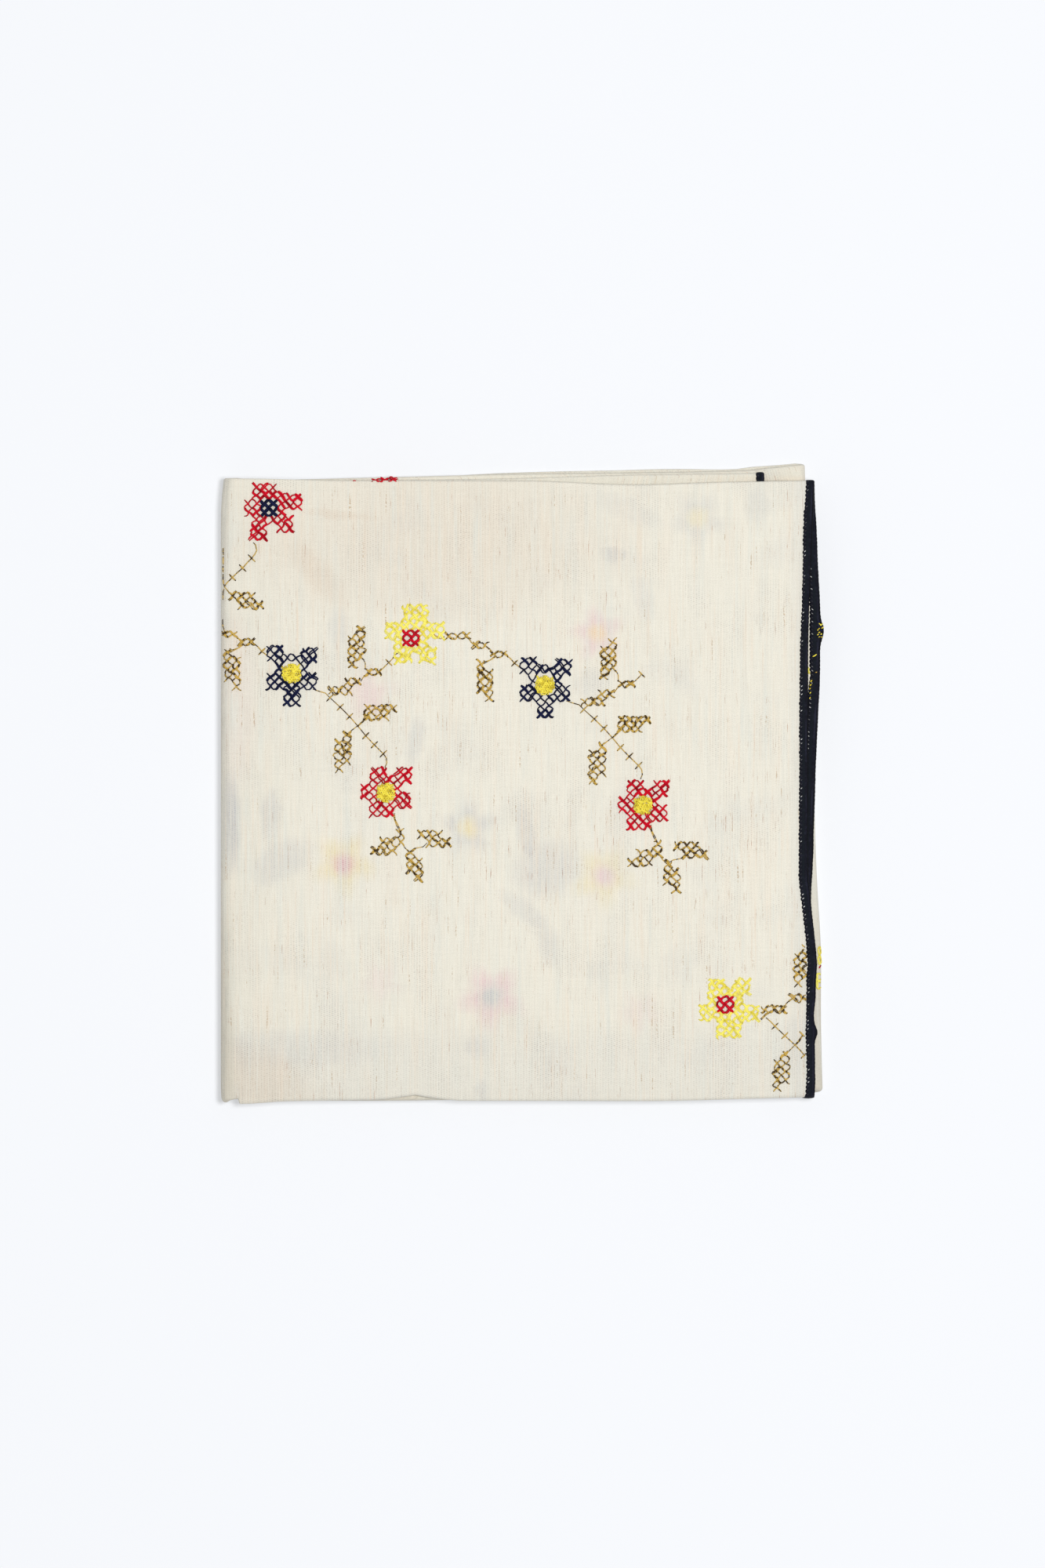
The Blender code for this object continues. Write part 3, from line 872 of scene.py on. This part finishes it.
# The leaves and the stems' crosses, charted the same way
leafCharts = {
    "rising": (".x", "xx", "xx", "xx", "x."),
    "drooping": ("x.", "xx", "xx", "xx", ".x"),
    "sideways": ("xxxx", "xxx."),
    "backward": ("...x", ".xxx", "xxx."),
    "forward": ("xxx.", ".xxx"),
    "short": ("x.", "xx", "xx", ".x"),
    "bud": ("..xx", "xxx."),
    "pair": ("xx",),
    "three": ("xxx",),
}
# One spray of the repeat, in pixels from the heart of its navy flower: chart, middle of its first
# cross, and pixels a cross sideways and down
sprayLeaves = (
    ("pair", -86, -50, 10.8, 8.5),
    ("pair", -63, -39.5, 11, 8.5),
    ("drooping", -81, -26.5, 10.6, 10.6),
    ("bud", 51, 11.5, 10.6, 10.6),
    ("rising", 77.5, -54.5, 10.6, 10.6),
    ("pair", 99, -1, 10.8, 9),
    ("sideways", 97.5, 45, 10.4, 10.4),
    ("rising", 60, 79, 10.6, 10.6),
    ("backward", 106, 204, 10.9, 11.1),
    ("short", 151.5, 229, 10.6, 10.6),
    ("forward", 165, 205.5, 10.8, 10.8),
)
# Single stitches across the stems: place, and 1 where they rise to the right or -1 where they fall
sprayTicks = (
    (-38, -28, 1), (49, 31, 1), (124, -14, -1), (62, 43, 1), (74, 55, 1),
    (94.5, 79.5, 1), (105.5, 91, 1), (117, 102.5, 1),
)
sprayStems = (
    ((-74, -50), (-69, -46), (-65, -41), (-62, -39)),
    ((-50, -40), (-43, -34), (-38, -28), (-30, -22), (-26, -19)),
    ((-62, -38), (-69, -32), (-79, -29)),
    ((-61, -37), (-67, -33), (-78, -27)),
    ((27, 20), (36, 23), (43, 25), (49, 31)),
    ((49, 31), (62, 43), (74, 55), (84.5, 67), (94.5, 79.5), (105.5, 91), (117, 102.5), (121, 108),
     (121.5, 114), (119, 120)),
    ((84, 67), (91, 60), (94, 52)),
    ((84, 68), (92, 61), (95, 53)),
    ((84, 67), (76, 73), (70, 78)),
    ((88, 10), (92, 4), (97, -1)),
    ((91, -19), (94, -13), (94, -6), (98, -2)),
    ((111, -2), (116, -6), (120, -10), (124, -14)),
    ((129, 178), (131, 186), (134, 194), (139, 203)),
    ((131, 178), (132, 186), (136, 194), (140, 203)),
    ((141, 217), (145, 223), (150, 228)),
    ((150, 228), (158, 223), (168, 221), (173, 216)),
)
# Where the spray is sewn: pixel of the navy heart, and how far it leans sideways down its length
sprays = ((372, 859, 0.0), (695, 874, 0.025))
# What is sewn beside the sprays, in the photo's own pixels
looseLeaves = (
    ("forward", 297.2, 761, 11.1, 10.8),
    ("three", 572.5, 811.5, 11, 8.5),
    ("three", 976.5, 1288, 10.8, 9.5),
    ("pair", 1011.5, 1273.8, 11.2, 9),
    ("rising", 991.5, 1346, 10.4, 10.4),
    ("rising", 1018.5, 1210.5, 10.8, 10.8),
)
looseTicks = (
    (321, 712, -1), (309.5, 724.5, -1), (296.5, 736.5, -1), (988.5, 1309, 1), (1001, 1321, 1),
    (1024, 1320, -1), (1026, 1346, 1),
)
looseStems = (
    ((323, 692), (326, 695), (327.5, 702), (325, 707), (321, 712), (316, 717), (309.5, 724.5),
     (302, 731), (296.5, 736.5), (290, 743), (286.5, 748), (291, 754), (297, 761)),
    ((285, 699), (284.8, 703), (285.2, 708)), ((285, 709.5), (284.8, 715), (285, 720)),
    ((284.7, 721.5), (284.6, 727), (285, 730)), ((284.9, 732), (284.7, 738), (285.2, 743), (286.5, 748)),
    ((286, 751), (284.8, 755), (284.6, 765)),
    ((284.2, 790), (284.4, 798), (287, 806)),
    ((496, 845), (501, 840), (503, 836), (509, 832)),
    ((549, 806), (556, 811), (562, 815), (567, 812)),
    ((597, 813), (601, 819), (605, 823), (609, 824)),
    ((970, 1300), (977, 1293), (984, 1289)),
    ((971, 1301), (978, 1294), (985, 1290)),
    ((1000, 1285), (1003, 1280), (1007, 1276), (1012, 1273)),
    ((1024, 1274), (1028, 1270), (1032, 1270)),
    ((977, 1298), (983, 1303), (988.5, 1309), (1001, 1321), (1014, 1333), (1021, 1340), (1027, 1347)),
    ((1014, 1333), (1019, 1327), (1024, 1320)),
    ((1014, 1334), (1020, 1328), (1024, 1321)),
    ((1014, 1333), (1008, 1339), (1002, 1345)),
    ((1020, 1254), (1026, 1257), (1032, 1259)),
)

# What shows past the upper strip's edges of flowers sewn lower in the stack: chart, middle of its
# first cross, pixels a cross sideways and down, and thread
edgeCharts = (
    (("x",), 1048.6, 1234, 3.0, 4.6, "red"),
    (("xxx",), 479, 612.4, 11, 4.2, "red"),
)
# Rows of a ring's pixel, half its width and half its height
edgeRings = (
    (1045.1, 1213, 1.5, 5.0), (1045.2, 1224.8, 1.6, 5.4), (1044.2, 1246.6, 2.7, 4.8),
    (1044.2, 1256.9, 2.7, 4.8), (1042.2, 1251.5, 0.7, 9.6), (1032.3, 855.3, 0.8, 3.4),
)
# Rows of a dash's pixels and its thread
edgeDashes = (
    (((450, 613.4), (452, 613.2), (454, 613.4)), "red"),
    (((467, 613.2), (470, 612.8), (473, 613.2)), "red"),
)

# Each colour of thread: its radius, the strands of a stitch, the share of stitches with one strand
# more, and how far a cross's corners stray, in crosses
threads = {
    "red": {
        "radius": 0.00030, "strands": 1, "double": 0.5, "stray": 0.045,
        "colour": (0.70, 0.004, 0.022, 1), "deepToneAndShadeColour": (0.10, 0.0, 0.001, 1),
    },
    "navy": {
        "radius": 0.00031, "strands": 1, "double": 0.5, "stray": 0.045,
        "colour": (0.007, 0.011, 0.052, 1), "deepToneAndShadeColour": (0.001, 0.0012, 0.004, 1),
    },
    "yellow": {
        "radius": 0.00020, "strands": 3, "double": 0.6, "stray": 0.09,
        "colour": (0.95, 0.88, 0.19, 1), "deepToneAndShadeColour": (0.68, 0.53, 0.015, 1),
    },
    "amber": {
        "radius": 0.00030, "strands": 1, "double": 0.0, "stray": 0.09,
        "colour": (0.96, 0.84, 0.10, 1), "deepToneAndShadeColour": (0.42, 0.27, 0.006, 1),
    },
    "gold": {
        "radius": 0.00027, "strands": 1, "double": 0.5, "stray": 0.06,
        "colour": (0.64, 0.42, 0.08, 1), "deepToneAndShadeColour": (0.026, 0.009, 0.0005, 1),
    },
}
stitching = {
    "heartRadius": {"red": 1.75, "navy": 1.9, "amber": 1.3},  # all radii in a cross's own thread's
    "stemRadius": 0.74,
    "ringRadius": 1.7,
    "dashRadius": 0.7,
    "boundRadius": 0.75,
    "stemHeight": 0.8,  # over the cloth, in radii, as each height of a strand
    "dashHeight": 0.5,
    "boundHeights": (0.5, 1.2, 1.6, 1.2, 0.5),
    "middleHeights": (0.7, 1.9),  # of a cross's lower and upper strand at its middle
    "sharedHeights": (1.6, 0.7),  # and at a corner where four crosses meet
    "cornerHeight": 0.9,
    "tailHeight": -0.3,  # of an end that goes into the cloth
    "tails": (-0.1, 0.12),  # how far past its corner such an end goes, in half diagonals
    "bow": 2.2,  # how far a strand bends off its line, in strays
    "arc": 0.86,  # how far an outer arc reaches towards its corner, and how round it leaves it
    "arcRoundness": 1.15,
    "looseness": 1.9,  # how far apart the strands of one stitch lie, in radii
    "apart": (0.5, 1.1),  # least and most of that
    "tick": 4.3,  # half a tick's width, in pixels
    "knotReach": 10.6,  # half width of an amber heart's knots, and the step between them, in pixels
    "knotStep": 2.9,
    "knotSizes": (0.5, 0.78),  # in steps
    "knotHeights": (0.6, 3.4),
    "clearance": 0.1,  # of the lower strand over the cloth, in radii
    "pressed": 0.2,  # what is left of the strands' heights on the underside
    "undersideTop": 0.0012,  # nothing higher than this belongs to the underside
    "steepest": 0.35,  # how far the cloth's normal still points up where a thread is laid
    "rayStart": 0.1,
    "swell": (0.88, 1.12),  # least and most of a thread's own radius
    "unevenness": (0.93, 1.07),  # and of each of its points
    "tip": 0.72,  # and of its two ends
}
chance = random.Random(7)


def chartCells(chart, x, y, across, downward, marks):
    # the middle of each marked cross, in pixels, by its column and row
    return {
        (c, r): (x + c * across, y + r * downward)
        for r, line in enumerate(chart)
        for c, mark in enumerate(line)
        if mark in marks
    }


def crossStrands(cells, across, downward, strayShare):
    # two strands for each cross. Where one meets its neighbours' it goes straight on, or round in an
    # arc, or ends in a tail. Each strand is a list of pixel x, pixel y and height in radii
    corners = {}
    for (c, r), (x, y) in cells.items():
        for dc in (0, 1):
            for dr in (0, 1):
                place = (x + (dc - 0.5) * across, y + (dr - 0.5) * downward)
                corners.setdefault((c + dc, r + dr), []).append(place)
    for key, places in corners.items():
        stray = [chance.gauss(0, strayShare) for _ in range(2)]
        corners[key] = np.mean(places, axis=0) + np.array(stray) * (across, downward)
    strands = []
    for (c, r), middle in cells.items():
        middle = np.array(middle)
        for over, ends in enumerate((((0, 1), (1, 0)), ((0, 0), (1, 1)))):
            cornerA, cornerB = (corners[c + dc, r + dr] for dc, dr in ends)
            heading = (cornerB - cornerA) / 2
            halves = []
            for sign, (dc, dr) in zip((-1, 1), ends):
                nextC, nextR = c + 2 * dc - 1, r + 2 * dr - 1
                diagonal, beside, above = ((k in cells) for k in ((nextC, nextR), (nextC, r), (c, nextR)))
                corner = corners[c + dc, r + dr]
                leave = corner - middle
                height = stitching["cornerHeight"]
                if diagonal:
                    height = stitching["sharedHeights"][over] if beside and above else height
                elif beside and not above:
                    corner = middle + leave * (1.0, stitching["arc"])
                    leave = leave * (stitching["arcRoundness"], 0.0)
                elif above and not beside:
                    corner = middle + leave * (stitching["arc"], 1.0)
                    leave = leave * (0.0, stitching["arcRoundness"])
                elif not beside and not above:
                    corner = corner + leave * chance.uniform(*stitching["tails"])
                    height = stitching["tailHeight"]
                start = sign * heading
                bow = np.array((-leave[1], leave[0])) * chance.gauss(0, stitching["bow"] * strayShare)
                half = []
                for t in (0, 0.38, 0.72, 1):
                    ease = t * t * (3 - 2 * t)
                    place = (middle + start * t) * (1 - ease) + (corner - leave * (1 - t)) * ease
                    place = place + bow * math.sin(math.pi * t)
                    half.append((*place, stitching["middleHeights"][over] * (1 - ease) + height * ease))
                halves.append(half)
            strands.append(halves[0][::-1] + halves[1][1:])
    return strands


def tick(x, y, side):
    # a single stitch across a stem, from its shares of the way along and its heights
    half = stitching["tick"] * chance.uniform(0.9, 1.1)
    profile = ((-1, -0.3), (-0.55, 1.2), (0, 2.1), (0.55, 1.2), (1, -0.3))
    return [(x + share * half, y - side * share * half, height) for share, height in profile]


def ring(x, y, halfWidth, halfHeight):
    # a loop of thread round a pixel
    loop = []
    for angle in (k * math.tau / 10 for k in range(11)):
        height = 0.9 + 0.4 * math.sin(3 * angle)
        loop.append((x + halfWidth * math.cos(angle), y + halfHeight * math.sin(angle), height))
    return loop


def heartKnots(px, py, reach, step):
    # a dense round heart of small looped stitches
    strands = []
    span = range(-math.ceil(reach / step) - 1, math.ceil(reach / step) + 2)
    for r in span:
        for c in span:
            x, y = (c + 0.5 * (r % 2)) * step, r * step * 0.87
            if math.hypot(x, y) > reach:
                continue
            turn, size = chance.uniform(0, math.tau), step * chance.uniform(*stitching["knotSizes"])
            height = chance.uniform(*stitching["knotHeights"])
            loop = []
            for k in range(7):
                angle = turn + k * 0.85
                wave = height + 0.8 * math.sin(k * 1.3 + turn)
                loop.append((px + x + size * math.cos(angle), py + y + size * math.sin(angle), wave))
            strands.append(loop)
    return strands


def loosened(strands, radius, count, share):
    # each stitch as so many loose strands, and some of them with one more alongside
    wide = radius / photo["metresPerPixel"] * stitching["looseness"]
    more = []
    for strand in strands:
        heading = np.subtract(strand[-1][:2], strand[0][:2])
        across = np.array((-heading[1], heading[0])) / max(np.linalg.norm(heading), 0.001) * wide
        extra = count - 1 + (chance.random() < share)
        for k in range(extra):
            side = (k % 2 * 2 - 1) * chance.uniform(*stitching["apart"])
            bow, skew = chance.uniform(-0.6, 0.6), chance.uniform(-0.7, 0.7) * (count > 1)
            line = []
            for n, (x, y, height) in enumerate(strand):
                t = n / (len(strand) - 1)
                apart = across * (side + bow * math.sin(math.pi * t) + skew * (t - 0.5))
                line.append((x + apart[0], y + apart[1], height * 0.8 + 0.3 * k))
            more.append(line)
    return strands + more


def lay(strands, surface, radius, under=False, cover=None):
    # the strands' places on the cloth, from the side that the rays come from, without what the cover
    # lies over. The scarf lies on the underside's strands, so they are pressed flat
    lines = []
    side = -1 if under else 1
    rise = stitching["pressed"] if under else 1.0
    for strand in strands:
        line = []
        for px, py, height in strand:
            x, y = spot(px, py)
            ray = Vector((side * x, y, side * stitching["rayStart"])), Vector((0, 0, -side))
            hit, normal, _, far = surface.ray_cast(*ray)
            near = cover.ray_cast(*ray)[3] if cover else None
            if hit is None or (near is not None and near < far):
                continue
            normal = normal if normal.z * side > 0 else -normal
            if abs(normal.z) < stitching["steepest"] or (under and hit.z > stitching["undersideTop"]):
                continue
            line.append(hit + normal * radius * (rise * height + stitching["clearance"]))
        if len(line) > 2:
            lines.append(line)
    return lines


def threadPiece(name, groups, material):
    # one piece from groups of lines, each with its thread's radius
    curve = bpy.data.curves.new(name, "CURVE")
    curve.dimensions = "3D"
    curve.bevel_depth = 1.0
    curve.bevel_resolution = 1
    curve.use_fill_caps = True
    for lines, radius in groups:
        for line in lines:
            spline = curve.splines.new("POLY")
            spline.points.add(len(line) - 1)
            swell = chance.uniform(*stitching["swell"])
            for k, (point, place) in enumerate(zip(spline.points, line)):
                taper = stitching["tip"] if k in (0, len(line) - 1) else 1.0
                point.co = (*place, 1)
                point.radius = radius * swell * taper * chance.uniform(*stitching["unevenness"])
    obj = bpy.data.objects.new(name, curve)
    bpy.context.scene.collection.objects.link(obj)
    activate(obj)
    bpy.ops.object.convert(target="MESH")
    obj = bpy.context.object
    obj.name = obj.data.name = name
    weld = obj.modifiers.new("weld", "WELD")
    weld.merge_threshold = 0.000001
    bpy.ops.object.modifier_apply(modifier="weld")
    bpy.ops.object.shade_smooth()
    return settle(obj, material)


# How each kind of thread takes the light. Its dark patches, painted shade between highlights on the cotton
# threads and dark segments of its own on the gold one, are rows of how many there are to a metre, the noise
# at which they start and are full, and how dark they are
threadLooks = {
    "cotton": {"patches": (420, 0.42, 0.70, 0.6), "endShade": 0.45, "roughness": 0.65, "gloss": 0.1},
    "gold": {"patches": (760, 0.47, 0.57, 0.95), "endShade": 0.7, "roughness": 0.5, "gloss": 0.25},
}


def threadFinish(name):
    values, look = threads[name], threadLooks.get(name, threadLooks["cotton"])
    material, uv, spots, wear = newFinish(
        name + "Thread", {"Roughness": look["roughness"], "Specular IOR Level": look["gloss"]}
    )
    along, around, _ = uv.parts()
    twist = ((along * 9 + around) * math.tau).math("SINE")
    fibres = spots.noise(2600, 2)
    # The dark patches are painted shade between the sheen's highlights on the cotton threads, and the gold
    # thread's own dark brown segments
    scale, start, full, strength = look["patches"]
    patches = spots.noise(scale, 2).rise(start, full) * strength
    # A painted shade darkens a stitch at its two ends, where it goes into the cloth
    ends = along.rise(0.16, 0.0) + along.rise(0.84, 1.0)
    fuzz = fibres.rise(0.5, 0.8) * 0.25 + twist.rise(0.2, 1.0) * 0.2
    colour = spots.plain(values["colour"])
    for dark in (patches, ends * look["endShade"], fuzz):
        colour = colour.toward(values["deepToneAndShadeColour"], dark)
    wear("Base Color", colour)
    wear("Normal", fibres.bump(0.5, 0.00015))
    return material


def embroider(surface, cover, under=False):
    # strands and their radii for each colour of thread
    groups = {name: [] for name in threads}

    def crosses(colour, cells, across, downward):
        return crossStrands(cells, across, downward, threads[colour]["stray"])

    def sew(colour, strands, share=1.0, count=None, double=None):
        radius = threads[colour]["radius"] * share
        count = threads[colour]["strands"] if count is None else count
        double = threads[colour]["double"] if double is None else double
        strands = loosened(strands, radius, count, double)
        groups[colour].append((lay(strands, surface, radius, under, cover), radius))

    def sewLeaf(kind, x, y, across, downward):
        cells = chartCells(leafCharts[kind], x, y, across, downward, "x")
        sew("gold", crosses("gold", cells, across, downward))

    def sewStems(stems):
        raised = [[(x, y, stitching["stemHeight"]) for x, y in stem] for stem in stems]
        sew("gold", raised, stitching["stemRadius"], 1, 0)

    for kind, px, py, pitch, petals, heart in flowers:
        flower = flowerCharts[kind]
        heartC, heartR = flower["heart"]
        left, top = px + (0.5 - heartC - 1) * pitch, py + (0.5 - heartR - 1) * pitch
        cells = chartCells(flower["chart"], left, top, pitch, pitch, "x")
        for firstC, lastC, firstR, lastR, acrossShare, downShare in flower["shifts"]:
            for (c, r), (x, y) in cells.items():
                if firstC <= c <= lastC and firstR <= r <= lastR:
                    cells[c, r] = (x + acrossShare * pitch, y + downShare * pitch)
        sew(petals, crosses(petals, cells, pitch, pitch))
        heartCells = chartCells(("hh", "hh"), px - pitch / 2, py - pitch / 2, pitch, pitch, "h")
        sew(heart, crosses(heart, heartCells, pitch, pitch), stitching["heartRadius"][heart], 1, 0)
        if heart == "amber":
            sew(heart, heartKnots(px, py, stitching["knotReach"], stitching["knotStep"]))

    for px, py, lean in sprays:
        for kind, x, y, across, downward in sprayLeaves:
            sewLeaf(kind, px + x + lean * y, py + y, across, downward)
        sewStems([[(px + x + lean * y, py + y) for x, y in stem] for stem in sprayStems])
        sew("gold", [tick(px + x + lean * y, py + y, side) for x, y, side in sprayTicks], 1.0, 1, 0)
    for leaf in looseLeaves:
        sewLeaf(*leaf)
    sewStems(looseStems)
    sew("gold", [tick(*place) for place in looseTicks], 1.0, 1, 0)
    if not under:
        for chart, x, y, across, downward, colour in edgeCharts:
            sew(colour, crosses(colour, chartCells(chart, x, y, across, downward, "x"), across, downward))
        sew("yellow", [ring(*place) for place in edgeRings], stitching["ringRadius"], 1, 0)
        for points, colour in edgeDashes:
            dash = [(x, y, stitching["dashHeight"]) for x, y in points]
            sew(colour, [dash], stitching["dashRadius"], 1, 0)
    return groups


# What is wound and stitched on the upper end's edging, in pixels: lines of one thread each
boundStitches = {
    "navy": (
        ((1042, 793), (1046, 792.6), (1048.6, 792.4)),
        ((1042.4, 799), (1046, 800.6), (1050.0, 797.8)),
        ((1042, 804.8), (1046, 804.4), (1049.6, 803.8)),
        ((1042.2, 810.8), (1046, 810.6), (1049.0, 810.2)),
    ),
    "amber": (
        ((1044.7, 794.8), (1046.1, 796.6), (1047.5, 798.4)),
        ((1047.1, 798.2), (1048.4, 796.2), (1049.6, 794.4)),
        ((1047.7, 801.4), (1049.2, 800.5), (1050.4, 799.6)),
        ((1044.4, 802.1), (1045.3, 801.5), (1046.1, 801.2)),
        ((1042.7, 804.0), (1043.5, 803.4), (1044.3, 802.8)),
        ((1044.1, 807.0), (1045.1, 806.5), (1046.1, 806.0)),
        ((1046.7, 809.1), (1047.5, 808.6), (1048.2, 808.1)),
        ((1042.7, 809.8), (1043.5, 809.2), (1044.3, 808.7)),
        ((1044.3, 812.7), (1045.3, 812.2), (1046.2, 811.8)),
        ((1047.4, 812.7), (1048.2, 812.3), (1049.0, 811.9)),
        ((1036.8, 837.7), (1039.3, 836.2), (1042.0, 834.4)),
        ((1034.2, 869.8), (1035.1, 868.6), (1036.0, 867.3)),
        ((1033.5, 874.9), (1034.3, 873.9), (1035.1, 872.8)),
        ((1032.9, 879.3), (1033.6, 878.4), (1034.3, 877.6)),
        ((1033.2, 884.4), (1033.9, 883.7), (1034.5, 882.9)),
        ((1032.6, 891.3), (1033.3, 890.3), (1033.9, 889.1)),
    ),
    "gold": (((1039.0, 857.8), (1040.6, 857.4), (1042.6, 857.0)),),
}


def bindEdging(surface):
    # short threads that lie on the edging, close to its curve all along
    groups = {}
    for name, lines in boundStitches.items():
        radius = threads[name]["radius"] * stitching["boundRadius"]
        strands = []
        for line in lines:
            xs, ys = (np.interp((0, 0.5, 1, 1.5, 2), (0, 1, 2), places) for places in zip(*line))
            strands.append(list(zip(xs, ys, stitching["boundHeights"])))
        groups[name] = [(lay(strands, surface, radius), radius)]
    return groups


clothPiece, flatSize = makeCloth()
print("The cloth is folded: flat it is %.3f by %.3f m" % flatSize)
edgings = makeEdgings()
print("The edgings are stitched")

depsgraph = bpy.context.evaluated_depsgraph_get()
surface = BVHTree.FromObject(clothPiece, depsgraph)
upperEdging = BVHTree.FromObject(edgings[0], depsgraph)
above, below = embroider(surface, upperEdging), embroider(surface, upperEdging, under=True)
binding = bindEdging(upperEdging)
for name in threads:
    lines = above[name] + below[name] + binding.get(name, [])
    threadPiece(name + "Stitches", lines, threadFinish(name))
print("The flowers are stitched")

# A pale floor lit from below as on a light table, even light from all round, and a key light from
# nearly overhead on the right, which leaves a narrow shadow on the left
studio = {
    "floorSize": 8,
    "floorColour": (0.48, 0.488, 0.51, 1),
    "floorGlow": (0.417, 0.425, 0.434, 1),
    "skyColour": (1.0, 1.0, 1.0, 1),
    "skyStrength": 0.42,
    "keyPlace": (0.43, 0.07, 2.9),
    "keySize": 0.5,
    "keyPower": 58.5,
    "lens": 400,
    "sensor": 36,
    "clipEnd": 20,
}
bpy.ops.mesh.primitive_plane_add(size=studio["floorSize"])
floor = bpy.context.object
floor.name = "paleFloor"
floorMaterial = newFinish("palePaper", {
    "Base Color": studio["floorColour"], "Roughness": 0.9, "Specular IOR Level": 0.1,
    "Emission Strength": 1.0, "Emission Color": studio["floorGlow"],
})[0]
floor.data.materials.append(floorMaterial)

world = bpy.data.worlds.new("studioSky")
world.use_nodes = True
world.node_tree.nodes["Background"].inputs["Color"].default_value = studio["skyColour"]
world.node_tree.nodes["Background"].inputs["Strength"].default_value = studio["skyStrength"]
bpy.context.scene.world = world
bpy.ops.object.light_add(type="AREA", location=studio["keyPlace"])
key = bpy.context.object
key.name = "keyLight"
key.data.energy = studio["keyPower"]
key.data.size = studio["keySize"]
key.rotation_euler = (Vector((0, 0, 0)) - key.location).to_track_quat("-Z", "Y").to_euler()

frameHeight = photo["size"][1] * photo["metresPerPixel"]
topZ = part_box("cloth")[1].z
cameraX, cameraY = spot(*photo["middlePixel"])
distance = frameHeight * studio["lens"] / studio["sensor"]
bpy.ops.object.camera_add(location=(cameraX, cameraY, topZ + distance), rotation=(0, 0, 0))
camera = bpy.context.object
camera.name = "photoCamera"
camera.data.lens = studio["lens"]
camera.data.sensor_fit = "VERTICAL"
camera.data.sensor_height = studio["sensor"]
camera.data.clip_end = studio["clipEnd"]
bpy.context.scene.camera = camera
bpy.context.scene.view_settings.view_transform = "Standard"
bpy.ops.object.select_all(action="DESELECT")
print("The studio is set up")
